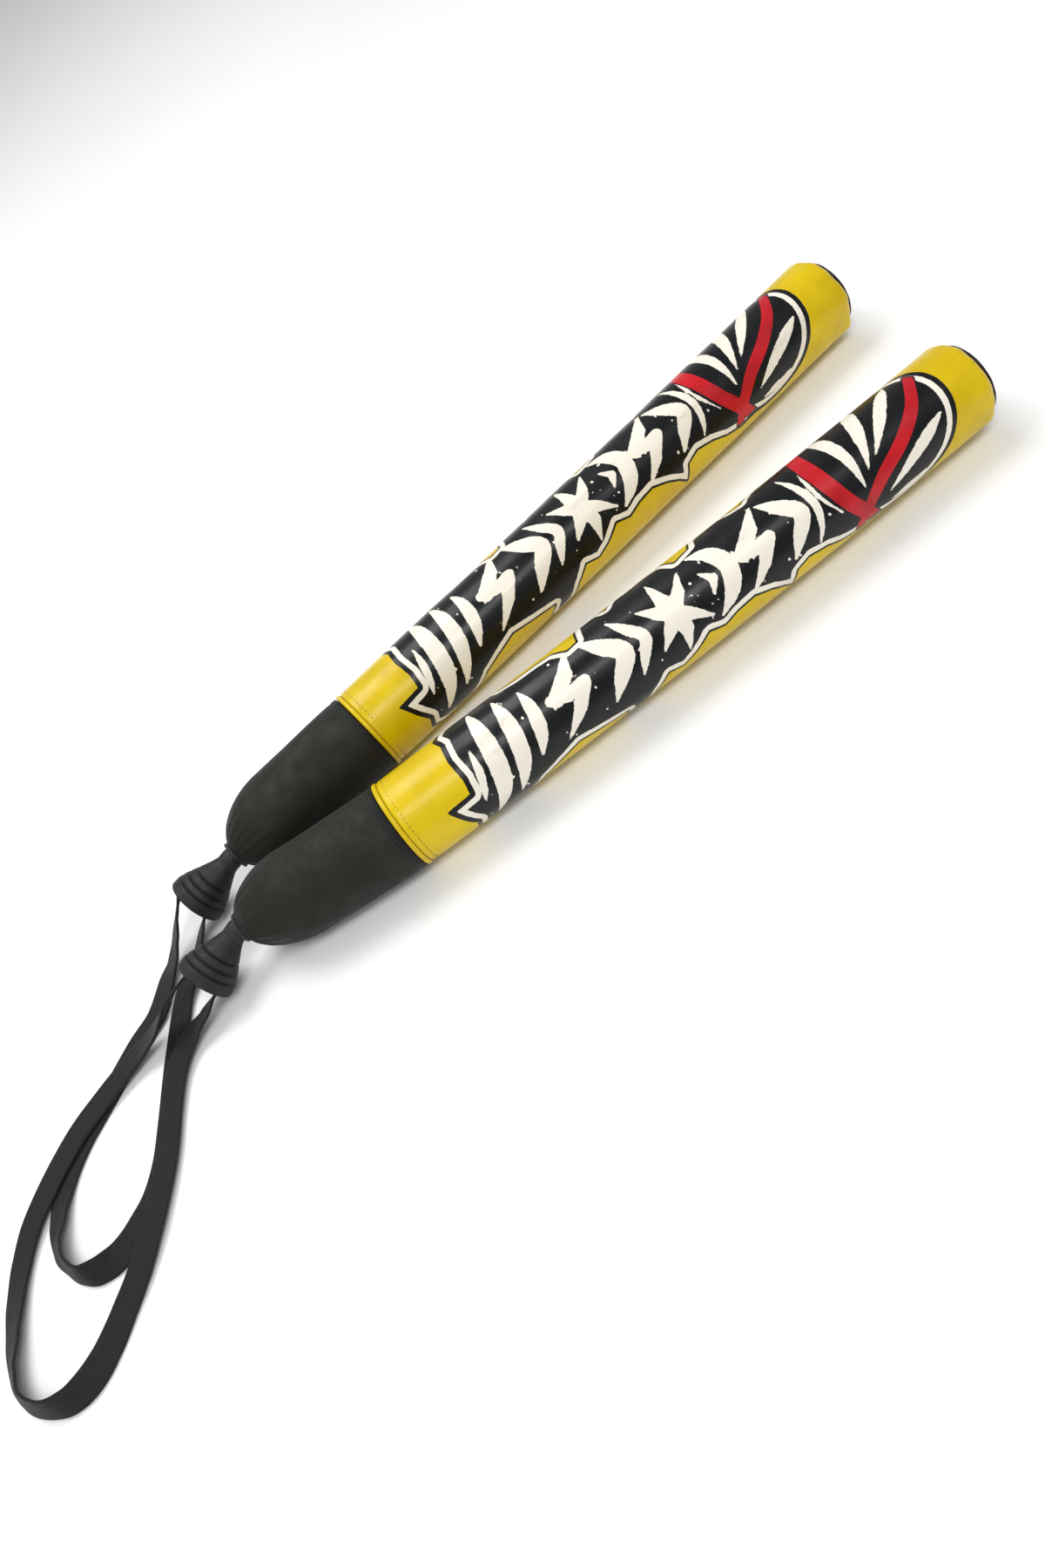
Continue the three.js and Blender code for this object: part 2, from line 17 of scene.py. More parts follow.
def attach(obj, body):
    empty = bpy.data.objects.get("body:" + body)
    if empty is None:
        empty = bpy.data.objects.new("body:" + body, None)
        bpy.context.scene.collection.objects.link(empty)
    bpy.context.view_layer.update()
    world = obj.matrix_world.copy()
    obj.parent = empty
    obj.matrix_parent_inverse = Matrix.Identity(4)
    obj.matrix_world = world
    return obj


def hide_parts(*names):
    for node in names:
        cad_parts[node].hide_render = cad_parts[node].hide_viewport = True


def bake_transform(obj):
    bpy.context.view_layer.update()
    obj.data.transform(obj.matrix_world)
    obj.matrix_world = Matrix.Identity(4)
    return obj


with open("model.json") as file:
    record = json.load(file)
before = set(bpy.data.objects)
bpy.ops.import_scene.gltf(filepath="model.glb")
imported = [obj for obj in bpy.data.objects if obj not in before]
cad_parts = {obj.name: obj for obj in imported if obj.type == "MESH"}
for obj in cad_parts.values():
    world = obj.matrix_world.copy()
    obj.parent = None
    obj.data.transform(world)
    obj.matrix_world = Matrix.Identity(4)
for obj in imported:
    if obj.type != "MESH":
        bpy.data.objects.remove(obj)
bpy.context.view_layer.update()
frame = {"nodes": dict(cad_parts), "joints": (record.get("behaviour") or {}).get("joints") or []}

MM = 0.001

# ---- sizes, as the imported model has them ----
BODY_R = 28.0           # over the covers
COVER_L = 418.0         # striking cover
COVER_WALL = 1.0
GRIP_L = 110.0          # grip cover
SHOULDER_L = 41.0       # its rounded end
MOUTH_R = 9.0
BEND_RUN = 24.0         # length over which the grip turns
WELT_W = 2.8            # folded hem where the covers meet
TIP_HOLE_R = 21.8       # edge turned in over the tip
DISC_T = 2.6
DISC_DOME = 2.4
PIPING_R = 0.9
TIP_ROUNDING = 5.6
TIP_GATHER_L = 22.0     # length of the gathers at the tip
TIP_GATHER_D = 0.9
TIP_SWELL = 0.25        # unevenness of the end disc and its piping
SEAM_ANGLE = -118.0     # lengthwise seam, on the side away from the front
SEAM_W = 4.0
SEAM_LIFT = 0.42        # how far the seam stands up
HEM_W = 5.2             # hem of the grip cover
CREASE_L = 34.0         # length of the gathers at the neck
CREASE_D = 1.15

STITCH_COUNT = 62       # stitches round a stick
STITCH_L = 2.1
TOPSTITCH_X = 7.2       # row round the striking cover
HEM_STITCH_X = -3.2     # row round the grip cover
SEAM_STITCH_L = 2.2
SEAM_STITCH_PITCH = 3.1

HINGE_X = -114.5        # where the neck flexes
BINDING_L = 1.8
BINDING_R = 9.7
LINK_R = 2.3
LINK_L = 13.0
LINK_START = -75.6      # inside the plug in the grip

BELL_L = 36.0           # pommel, from the hinge to the rim
BELL_TOP_R = 7.0
BELL_NECK_L = 5.0
BELL_RIM_R = 18.0
BELL_LIP_L = 6.0
BELL_WALL = 2.6
BELL_TOP_CUT = 4.0
BELL_LIP_STEP = 0.4     # the lip's flare
RIM_ROUNDING = 1.1
LINK_BORE_R = 4.2
FERRULE_BORE_R = 5.9
GROOVES = (8.0, 13.0, 18.5)   # above the rim
GROOVE_W = 1.4
GROOVE_D = 1.25
PLATE_T = 2.6
PLATE_OUTER = 34.2      # the slotted plate's outer face, from the hinge
PLATE_R = 15.8
PLATE_GAP = 0.3
PLATE_BEVEL = 0.25
SLOT_CORNER_R = 0.6
POMMEL_ROLL = 45.0      # turn of the slots round the pommel's axis

STRAP_W = 16.0
STRAP_T = 1.8
SLOT_OFFSET = 10.2
SLOT_CLEAR = 0.45
RIB_PITCH = 1.33        # the webbing's weave
YARN_PITCH = 1.1
TWILL_W = 5.33

COVER_SIDES = 168       # points round a cover
TURNED_SIDES = 96       # points round the smaller turned pieces

STICKS = {
    "rear": dict(yaw=4.2, bow=-1.2, grip_bend=0.0, pommel_yaw=-4.0, droop=12.0,
                 print_angle=28.0, print_shift=-5.0),
    "front": dict(yaw=-4.2, bow=-4.2, grip_bend=8.0, pommel_yaw=21.0, droop=13.0,
                  print_angle=39.0, print_shift=0.0),
}

# Wrist strap routes, as the model has them: [x, y, height of the lower edge over the floor,
# tilt from lying flat in degrees], outside the pommel and from its hinge.
STRAP_ROUTES = {
    "rear": [
        (-50, 1, 15, -42), (-60, -7, 9, -34), (-70, -14, 4, -24), (-81, -20, 1.5, -12),
        (-96, -33, 0.2, -4), (-116, -42, 0.2, -2), (-144, -58, 0.2, 0), (-172, -74, 0.2, -1),
        (-189, -90, 0.2, -4), (-198, -107, 0.2, -18), (-202, -125, 0.2, -42),
        (-199, -139, 0.2, -60), (-193, -150, 0.2, -64), (-183, -155, 0.2, -46),
        (-169, -154, 0.2, -20), (-156, -147, 0.2, -6), (-142, -138, 0.2, -1),
        (-129, -124, 0.2, 0), (-116, -103, 0.2, 0), (-103, -80, 0.2, 0), (-89, -57, 0.2, 3),
        (-73, -34, 0.2, 11), (-60, -25, 0.3, 20), (-50, -17, 2.5, 36),
    ],
    "front": [
        (-52, -4, 22, -42), (-66, -3, 15, -30), (-81, -3, 8.5, -18), (-101, -3, 4.4, -6),
        (-125, -8, 3.2, 0), (-147, -15, 3, 0), (-164, -24, 3, 0), (-180, -35, 3.2, 0),
        (-195, -47, 2.6, -2), (-207, -61, 1, -6), (-217, -79, 0.2, -14), (-224, -99, 0.2, -26),
        (-228, -119, 0.2, -44), (-225, -137, 0.2, -62), (-214, -150, 0.2, -66),
        (-200, -155, 0.2, -52), (-187, -152, 0.2, -32), (-174, -144, 0.3, -16),
        (-160, -133, 0.8, -8), (-145, -121, 2, -3), (-131, -107, 3.2, 0),
        (-117, -90, 3.2, 0), (-105, -73, 3, 0), (-95, -55, 3, 0), (-84, -37, 3.2, 0),
        (-74, -26, 3.6, 2), (-62, -19, 4, 8), (-49, -17, 5, 26),
    ],
}

# ---- the print, drawn flat: x along the stick, s round it from the print's middle ----
# Outline of the dark field: its start, its lower edge, the round end, its upper edge.
FIELD_NEAR = [
    (46, -36), (44, -31), (47, -22), (45.5, -10), (46.5, 3), (45, 12), (28, 13), (33, 24),
    (38, 34), (36, 44), (44, 52), (60, 57), (74, 54), (81, 46),
]
FIELD_LOWER = [
    (86, 40), (98, 35), (112, 30.5), (122, 33), (134, 36), (145, 39), (140, 48), (148, 56),
    (161, 52), (167, 40), (176, 31), (186, 35), (196, 31), (207, 24), (217, 28), (227, 25),
    (239, 24), (250, 29), (258, 35), (265, 44), (269, 30), (278, 27), (290, 30), (302, 36),
    (314, 40),
]
FIELD_UPPER = [
    (308, -47), (296, -44), (284, -48), (276, -42), (267, -33), (261, -35), (255, -42),
    (244, -43), (231, -41), (227, -30), (216, -27), (211, -38), (200, -43), (186, -41),
    (176, -44), (169, -34), (164, -42), (148, -42), (144, -24), (137, -23), (129, -31),
    (118, -33), (104, -34), (94, -37), (88, -46), (76, -52), (60, -54), (50, -46),
]
ROUND_END = (346.0, -5.0, 48.0)     # middle and radius of the field's round end
ROUND_END_TURN = (112, -122)        # and the angles that it runs between

# Brush strokes: points of [x, s, half width]. They are claw marks, bolts, chevrons, a burst
# and, inside the round end, a plain fan of rays.
WHITE_STROKES = [
    [(69, -33, 1.0), (70, -14, 4.6), (68, 6, 5.6), (62, 24, 4.6), (52, 40, 0.8)],
    [(85, -27, 0.8), (86, -10, 4.4), (83, 8, 5.0), (77, 22, 3.6), (70, 34, 0.7)],
    [(100, -20, 0.7), (101, -7, 3.6), (98, 7, 4.0), (91, 20, 0.8)],
    [(59, -8, 0.6), (57, 4, 2.4), (53, 15, 2.0), (50, 22, 0.5)],
    [(135, -23, 0.9), (127, -10, 4.6), (115, -1, 4.8)],
    [(112, -2, 3.4), (122, 1, 3.8), (134, 0, 3.4)],
    [(132, 1, 4.6), (123, 11, 3.8), (108, 23, 0.6)],
    [(143, -21, 1.0), (152, -10, 5.0), (161, 1, 5.4), (152, 11, 4.6), (142, 22, 0.9)],
    [(163, -20, 0.7), (169, -9, 3.2), (175, 1, 3.6), (169, 10, 3.0), (163, 19, 0.7)],
    [(194, -25, 0.6), (195, -8, 4.6), (196, 1, 6.0)],
    [(196, 1, 6.0), (197, 12, 4.2), (193, 25, 0.6)],
    [(179, -13, 0.6), (188, -5, 3.8), (196, 1, 5.0)],
    [(196, 1, 5.0), (205, 8, 3.4), (214, 16, 0.6)],
    [(180, 15, 0.6), (188, 8, 3.6), (196, 1, 5.0)],
    [(196, 1, 5.0), (205, -7, 3.6), (212, -18, 0.6)],
    [(221, -22, 0.8), (231, -15, 4.6), (236, -2, 5.4), (230, 11, 4.6), (218, 20, 0.8)],
    [(220, -8, 0.6), (225, -1, 2.8), (220, 7, 0.6)],
    [(267, -22, 0.9), (258, -10, 4.4), (246, -1, 4.6)],
    [(243, -2, 3.2), (253, 1, 3.8), (264, 0, 3.4)],
    [(262, 1, 4.4), (253, 11, 3.6), (239, 22, 0.6)],
    [(270, -20, 0.9), (278, -10, 4.4), (286, 1, 4.8), (278, 11, 4.0), (270, 21, 0.9)],
    [(289, -26, 0.5), (293, -12, 2.0), (295, 2, 2.4), (292, 14, 1.8), (287, 23, 0.5)],
    # a fan of rays inside the round end
    [(303, -27, 0.4), (299, -12, 1.1), (300, 3, 1.1), (306, 17, 0.4)],
    [(324, 13, 0.5), (325, -8, 3.2), (323, -29, 3.8), (321, -40, 0.8)],
    [(331, 6, 0.5), (340, -14, 3.8), (347, -33, 4.0), (349, -43, 0.8)],
    [(339, 2, 0.5), (354, -12, 3.4), (367, -26, 3.4), (373, -33, 0.8)],
    [(337, 26, 0.5), (353, 19, 3.0), (370, 12, 3.6), (382, 7, 0.8)],
    [(337, 34, 0.4), (347, 34, 2.2), (356, 34, 2.2), (363, 32, 0.5)],
]
BRUSHED = 22            # how many of these are brush strokes with specks of paint round them
RED_BANDS = [
    [(311, -46, 3.6), (306, -28, 4.6), (306, -9, 5.0), (311, 12, 4.6), (321, 30, 4.0),
     (327, 38, 2.6)],
    [(313, 38, 2.6), (320, 27, 3.6), (335, 15, 4.0), (356, 5, 4.0), (373, -7, 3.6),
     (386, -25, 2.8)],
]
RED_LINE = 0.9          # dark line round each red band
PRINT_EDGE = 0.18       # how soft the print's edges are
OUTLINE_W = 1.6         # dark outline of the field, thicker at its two ends
OUTLINE_END_W = 3.2
OUTLINE_ENDS = ((55, 80), (300, 330))   # where the outline thins, and thickens again
WHITE_LINE_W = 3.5      # pale line inside the outline
STROKE_GAP = 1.2        # least gap from the outline to a stroke, and to a red band
RED_GAP = 1.0
DROPLETS = 90           # specks of paint round the strokes
DROPLET_SPREAD = (6, 5)
DROPLET_R = (0.25, 0.95)


# ---- places ----
def centre_line(stick, x):
    """The stick's centre line at x: its sideways offset, and the direction it runs in."""
    x = np.asarray(x, float)
    u = x / COVER_L
    start = stick["bow"] * 4 / COVER_L
    end = -math.tan(math.radians(stick["grip_bend"])) if stick["grip_bend"] else start
    run = np.clip(-x, 0, BEND_RUN)
    slope = start + (end - start) * run / BEND_RUN
    grip_y = -(start + slope) / 2 * run - end * (-x - run)
    ahead = x >= 0
    return (np.where(ahead, stick["bow"] * 4 * u * (1 - u), grip_y),
            np.where(ahead, start * (1 - 2 * u), slope))


def hinge_of(side):
    """The pommel's hinge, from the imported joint."""
    joint = next(j for j in frame["joints"] if j["name"] == f"{side}_pommel_flex")
    return Vector(joint["pos_m"])


def stick_matrix(side):
    """From a stick's own millimetres to the model's metres."""
    stick = STICKS[side]
    turn = Matrix.Rotation(math.radians(stick["yaw"]), 4, "Z")
    y, _ = centre_line(stick, HINGE_X)
    corner = hinge_of(side) - turn @ Vector((HINGE_X * MM, float(y) * MM, 0))
    return Matrix.Translation(corner) @ turn @ Matrix.Scale(MM, 4)


def pommel_matrix(side):
    """From a pommel's own millimetres (its rim towards -X) to the model's metres."""
    stick = STICKS[side]
    _, slope = centre_line(stick, HINGE_X)
    heading = math.radians(stick["yaw"] + stick["pommel_yaw"]) + math.atan(float(slope))
    return (Matrix.Translation(hinge_of(side)) @ Matrix.Rotation(heading, 4, "Z")
            @ Matrix.Rotation(-math.radians(stick["droop"]), 4, "Y")
            @ Matrix.Rotation(math.radians(POMMEL_ROLL), 4, "X") @ Matrix.Scale(MM, 4))


def moved(matrix, points):
    m = np.array(matrix)
    return points @ m[:3, :3].T + m[:3, 3]


def on_stick(side, points):
    """Places straight points [x, y, z] round a stick's axis on its bent centre line."""
    y, slope = centre_line(STICKS[side], points[:, 0])
    length = np.hypot(1, slope)
    bent = np.column_stack([
        points[:, 0] - points[:, 1] * slope / length, y + points[:, 1] / length, points[:, 2],
    ])
    return moved(stick_matrix(side), bent)


def on_pommel(side, points):
    return moved(pommel_matrix(side), points)


def smooth(low, high, x):
    t = np.clip((np.asarray(x, float) - low) / (high - low), 0, 1)
    return t * t * (3 - 2 * t)


def ripple(seed, terms, low, high):
    """A smooth irregular wave round the stick: the sum of a few seeded waves."""
    draw = random.Random(seed)
    waves = [(draw.randint(low, high), draw.uniform(0, math.tau), draw.uniform(0.4, 1))
             for _ in range(terms)]
    total = sum(size for _, _, size in waves)
    return lambda angle: sum(size * np.sin(n * angle + start)
                             for n, start, size in waves) / total


# ---- meshes ----
def new_piece(name, points, faces, body, material, replaces=(), uv=None):
    mesh = bpy.data.meshes.new(name)
    mesh.from_pydata([tuple(p) for p in points], [], faces)
    mesh.polygons.foreach_set("use_smooth", [True] * len(mesh.polygons))
    if uv is not None:
        layer = mesh.uv_layers.new(name="flat")
        corners = np.empty(len(mesh.loops), dtype=np.int64)
        mesh.loops.foreach_get("vertex_index", corners)
        layer.data.foreach_set("uv", np.asarray(uv, float)[corners].ravel())
    mesh.materials.append(material)
    mesh.update()
    piece = bpy.data.objects.new(name, mesh)
    bpy.context.scene.collection.objects.link(piece)
    if body:
        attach(piece, body)
    if replaces:
        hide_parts(*replaces)
    return piece


def grid_faces(rows, columns, close_rows=False, cap=False, flip=False):
    """Faces of a grid whose columns run round; the rows may close on themselves too."""
    faces = []
    for i in range(rows if close_rows else rows - 1):
        a, b = i * columns, (i + 1) % rows * columns
        for j in range(columns):
            k = (j + 1) % columns
            faces.append((a + j, a + k, b + k, b + j))
    if cap:
        faces.append(tuple(reversed(range(columns))))
        faces.append(tuple(range((rows - 1) * columns, rows * columns)))
    return [tuple(reversed(f)) for f in faces] if flip else faces


def turned(profile, sides, wobble=None):
    """Points of a profile of [x, radius] turned about X, with each point's x and angle."""
    x, angle = np.meshgrid([p[0] for p in profile], np.arange(sides) * math.tau / sides,
                           indexing="ij")
    radius = np.repeat(np.array([p[1] for p in profile])[:, None], sides, axis=1)
    if wobble is not None:
        radius = radius + wobble(x, angle, radius)
    points = np.column_stack([
        x.ravel(), (-radius * np.sin(angle)).ravel(), (radius * np.cos(angle)).ravel(),
    ])
    return points, x.ravel(), angle.ravel()


def evenly(start, end, step):
    count = max(2, round(abs(end - start) / step) + 1)
    return [float(v) for v in np.linspace(start, end, count)]


def arc(cx, cr, radius, start, end, steps):
    angles = np.radians(np.linspace(start, end, steps + 1))
    return [(cx + radius * math.cos(a), cr + radius * math.sin(a)) for a in angles]


def set_values(piece, name, values):
    layer = piece.data.attributes.new(name, "FLOAT", "POINT")
    layer.data.foreach_set("value", np.asarray(values, np.float32))


def resting(points):
    """Flattens a soft piece a little where it rests on the floor."""
    level, left = 0.25 * MM, 0.15
    points = points.copy()
    low = points[:, 2] < level
    points[low, 2] = level + (points[low, 2] - level) * left
    return points


# ---- distances in the print ----
def rounded_off(points):
    """More points along a smooth curve through the points of a stroke."""
    if len(points) < 4:
        return points
    ends = np.array([points[0], *points, points[-1]], float)
    curve = []
    for p0, p1, p2, p3 in zip(ends, ends[1:], ends[2:], ends[3:]):
        for t in np.arange(5) / 5:
            curve.append(0.5 * (2 * p1 + (p2 - p0) * t + (2 * p0 - 5 * p1 + 4 * p2 - p3) * t * t
                                + (3 * p1 - p0 - 3 * p2 + p3) * t ** 3))
    return [tuple(p) for p in curve] + [points[-1]]


def to_segment(x, s, a, b):
    """How far along the line from a to b each place's nearest point is, and how far away."""
    dx, ds = b[0] - a[0], b[1] - a[1]
    t = np.clip(((x - a[0]) * dx + (s - a[1]) * ds) / (dx * dx + ds * ds), 0, 1)
    return t, np.hypot(x - a[0] - t * dx, s - a[1] - t * ds)


def stroke_depth(x, s, points):
    """How far inside a tapered stroke each place is, in millimetres."""
    best = np.full(x.shape, -1e3)
    points = rounded_off(points)
    for a, b in zip(points, points[1:]):
        t, away = to_segment(x, s, a, b)
        best = np.maximum(best, a[2] + (b[2] - a[2]) * t - away)
    return best


def outline_depth(x, s, corners):
    """How far inside a closed outline each place is, in millimetres."""
    away = np.full(x.shape, 1e3)
    inside = np.zeros(x.shape, bool)
    for a, b in zip(corners, corners[1:] + corners[:1]):
        away = np.minimum(away, to_segment(x, s, a, b)[1])
        if a[1] != b[1]:
            crossing = a[0] + (s - a[1]) * (b[0] - a[0]) / (b[1] - a[1])
            inside ^= ((a[1] > s) != (b[1] > s)) & (x < crossing)
    return np.where(inside, away, -away)


def field_outline():
    mx, ms, radius = ROUND_END
    end = [(mx + radius * math.cos(a), ms + radius * math.sin(a))
           for a in np.radians(np.linspace(*ROUND_END_TURN, 40))]
    return FIELD_NEAR + FIELD_LOWER + end + FIELD_UPPER


def print_layers(x, s):
    """Depths of the print's layers at each place of the flat drawing."""
    field = outline_depth(x, s, field_outline())
    near, far = OUTLINE_ENDS
    ends = np.maximum(1 - smooth(*near, x), smooth(*far, x))
    line = OUTLINE_W + (OUTLINE_END_W - OUTLINE_W) * ends
    white = np.max([stroke_depth(x, s, p) for p in WHITE_STROKES], axis=0)
    draw = random.Random(11)
    for _ in range(DROPLETS):
        stroke = draw.choice(WHITE_STROKES[:BRUSHED])
        px, ps, _ = draw.choice(stroke)
        cx, cs = (place + draw.gauss(0, spread)
                  for place, spread in zip((px, ps), DROPLET_SPREAD))
        size = draw.uniform(*DROPLET_R)
        white = np.maximum(white, size - np.hypot(x - cx, (s - cs) * 0.8))
    white = np.minimum(white, field - line - STROKE_GAP)
    red = np.max([stroke_depth(x, s, p) for p in RED_BANDS], axis=0)
    return field, field - line, white, np.minimum(red, field - line - RED_GAP)


# ---- materials ----
class Shader:
    """A material being made: short calls that add nodes and link them."""

    def __init__(self, name, **settings):
        self.material = bpy.data.materials.new(name)
        self.material.use_nodes = True
        self.tree = self.material.node_tree
        self.surface = self.tree.nodes["Principled BSDF"]
        for socket, value in settings.items():
            self.surface.inputs[socket.replace("_", " ")].default_value = value

    def feed(self, socket, value):
        if hasattr(value, "links"):
            self.tree.links.new(value, socket)
        else:
            socket.default_value = value

    def node(self, kind, inputs=(), **options):
        node = self.tree.nodes.new("ShaderNode" + kind)
        for option, value in options.items():
            setattr(node, option, value)
        for name, value in dict(inputs).items():
            self.feed(node.inputs[name], value)
        return node

    def math(self, operation, a, b=0.0):
        return self.node("Math", {0: a, 1: b}, operation=operation).outputs[0]

    def value(self, name):
        return self.node("Attribute", attribute_name=name).outputs["Fac"]

    def object_place(self):
        return self.node("TexCoord").outputs["Object"]

    def flat_place(self):
        return self.node("UVMap", uv_map="flat").outputs["UV"]

    def stretched(self, place, scale):
        return self.node("Mapping", {"Vector": place, "Scale": scale}).outputs[0]

    def noise(self, scale, detail=2.0, roughness=0.5, place=None):
        inputs = {"Scale": scale, "Detail": detail, "Roughness": roughness,
                  "Vector": place or self.object_place()}
        return self.node("TexNoise", inputs).outputs["Fac"]

    def cells(self, scale):
        inputs = {"Scale": scale, "Vector": self.object_place()}
        return self.node("TexVoronoi", inputs).outputs["Distance"]

    def ramp(self, value, low, high, start=0.0, end=1.0):
        inputs = {"Value": value, "From Min": low, "From Max": high, "To Min": start,
                  "To Max": end}
        return self.node("MapRange", inputs, interpolation_type="SMOOTHSTEP").outputs["Result"]

    def mix(self, factor, a, b):
        node = self.node("Mix", data_type="RGBA")
        for index, value in ((0, factor), (6, a), (7, b)):
            self.feed(node.inputs[index], value)
        return node.outputs[2]

    def bump(self, height, distance, strength=1.0, under=None):
        inputs = {"Height": height, "Distance": distance, "Strength": strength}
        if under is not None:
            inputs["Normal"] = under
        return self.node("Bump", inputs).outputs["Normal"]

    def finish(self, colour, roughness, normal=None):
        self.feed(self.surface.inputs["Base Color"], colour)
        self.feed(self.surface.inputs["Roughness"], roughness)
        if normal is not None:
            self.feed(self.surface.inputs["Normal"], normal)
        return self.material


def rgb(red, green, blue):
    """A colour given in the usual 0 to 255 steps, as linear light."""
    def linear(c):
        c /= 255
        return c / 12.92 if c <= 0.04045 else ((c + 0.055) / 1.055) ** 2.4
    return (linear(red), linear(green), linear(blue), 1.0)


YELLOW = rgb(216, 187, 0)
YELLOW_DEEP = rgb(202, 171, 0)
FIELD = rgb(7, 9, 13)
FIELD_WORN = rgb(17, 20, 25)
PALE = rgb(236, 230, 217)
PALE_WORN = rgb(218, 211, 196)
RED = rgb(196, 22, 34)
RED_DEEP = rgb(160, 14, 26)


def coated(shader, fine, coarse):
    """Grain of a smooth coated fabric: fine leather cells over slow waves of the backing."""
    grain = shader.cells(fine)
    waves = shader.noise(coarse, 3)
    under = shader.bump(waves, 0.00035, 0.35)
    return shader.bump(grain, 0.00006, 0.5, under)


def printed_material():
    """Coated fabric printed in layers: field, pale line, dark ground, strokes and bands."""
    sh = Shader("printed_cover", Coat_Weight=0.1, Coat_Roughness=0.14,
                Specular_IOR_Level=0.26)
    rough_edge = sh.math("ADD", sh.math("MULTIPLY", sh.noise(700, 3), 0.9),
                         sh.math("MULTIPLY", sh.noise(230, 2), 1.1))
    rough_edge = sh.math("SUBTRACT", rough_edge, 1.0)

    def inside(name, level=0.0, jitter=1.0):
        depth = sh.math("ADD", sh.value(name), sh.math("MULTIPLY", rough_edge, jitter))
        return sh.ramp(depth, level - PRINT_EDGE, level + PRINT_EDGE)

    blotch = sh.ramp(sh.noise(26, 4, 0.6), 0.35, 0.7)
    scuffs = sh.ramp(sh.noise(60, 6, 0.7, sh.stretched(sh.object_place(), (0.35, 1, 1))),
                     0.56, 0.72)
    colour = sh.mix(blotch, YELLOW, YELLOW_DEEP)
    dark = sh.mix(sh.math("MULTIPLY", scuffs, 0.6), FIELD, FIELD_WORN)
    pale = sh.mix(scuffs, PALE, PALE_WORN)
    colour = sh.mix(inside("field", 0, 0.5), colour, dark)
    colour = sh.mix(inside("edge", 0, 0.5), colour, pale)
    colour = sh.mix(inside("edge", WHITE_LINE_W, 0.8), colour, dark)
    colour = sh.mix(inside("white"), colour, pale)
    colour = sh.mix(inside("red", -RED_LINE, 0.2), colour, dark)
    colour = sh.mix(inside("red", 0, 0.2), colour, sh.mix(blotch, RED, RED_DEEP))
    roughness = sh.ramp(sh.noise(45, 5, 0.65), 0.3, 0.75, 0.26, 0.42)
    return sh.finish(colour, roughness, coated(sh, 1500, 55))


def plain_cover_material(name, colour, deep):
    """The same coated fabric without a print."""
    sh = Shader(name, Coat_Weight=0.1, Coat_Roughness=0.16, Specular_IOR_Level=0.26)
    blotch = sh.ramp(sh.noise(30, 4, 0.6), 0.35, 0.7)
    rough = sh.ramp(sh.noise(50, 5, 0.65), 0.3, 0.75, 0.3, 0.45)
    return sh.finish(sh.mix(blotch, colour, deep), rough, coated(sh, 1500, 80))


def grip_material():
    """Dull coated fabric: a fine pebbled face with painted shade in its pits, and a band of
    painted shade along its folded hem, beside the welt.
    """
    sh = Shader("grip_cover", Sheen_Weight=0.04, Sheen_Roughness=0.45,
                Specular_IOR_Level=0.26)
    blotch = sh.ramp(sh.noise(22, 5, 0.6), 0.3, 0.7)
    colour = sh.mix(blotch, rgb(33, 34, 27), rgb(28, 29, 23))
    pores = sh.cells(1700)
    # Painted shade: the pits of the pebbled face are darkened.
    colour = sh.mix(sh.ramp(pores, 0.25, 0.75), sh.mix(0.5, colour, rgb(20, 21, 18)), colour)
    # Painted shade: the hem band beside the welt is darkened.
    colour = sh.mix(sh.ramp(sh.value("hem"), 0.4, 0.6), colour, rgb(17, 18, 17))
    rub = sh.ramp(sh.noise(70, 6, 0.7), 0.58, 0.75)
    colour = sh.mix(sh.math("MULTIPLY", rub, 0.18), colour, rgb(48, 48, 39))
    rough = sh.ramp(sh.noise(90, 4), 0.3, 0.7, 0.58, 0.76)
    under = sh.bump(sh.noise(60, 3), 0.0005, 0.4)
    return sh.finish(colour, rough, sh.bump(pores, 0.0001, 0.6, under))


def rubber_material():
    """Moulded rubber: dull, a little dusty, with painted shade in its grooves."""
    sh = Shader("rubber", Specular_IOR_Level=0.34)
    blotch = sh.ramp(sh.noise(60, 5, 0.6), 0.3, 0.7)
    colour = sh.mix(blotch, rgb(34, 35, 30), rgb(26, 27, 23))
    dust = sh.ramp(sh.noise(420, 4, 0.7), 0.6, 0.75)
    colour = sh.mix(sh.math("MULTIPLY", dust, 0.25), colour, rgb(72, 72, 68))
    # Painted shade: the colour is darkened where the grooves cut deepest.
    shade = sh.ramp(sh.value("groove"), 0.25, 0.8, 0, 0.7)
    colour = sh.mix(shade, colour, rgb(11, 11, 10))
    rough = sh.ramp(sh.noise(160, 4, 0.6), 0.3, 0.7, 0.5, 0.66)
    return sh.finish(colour, rough, sh.bump(sh.noise(2200, 2), 0.00004, 0.5))


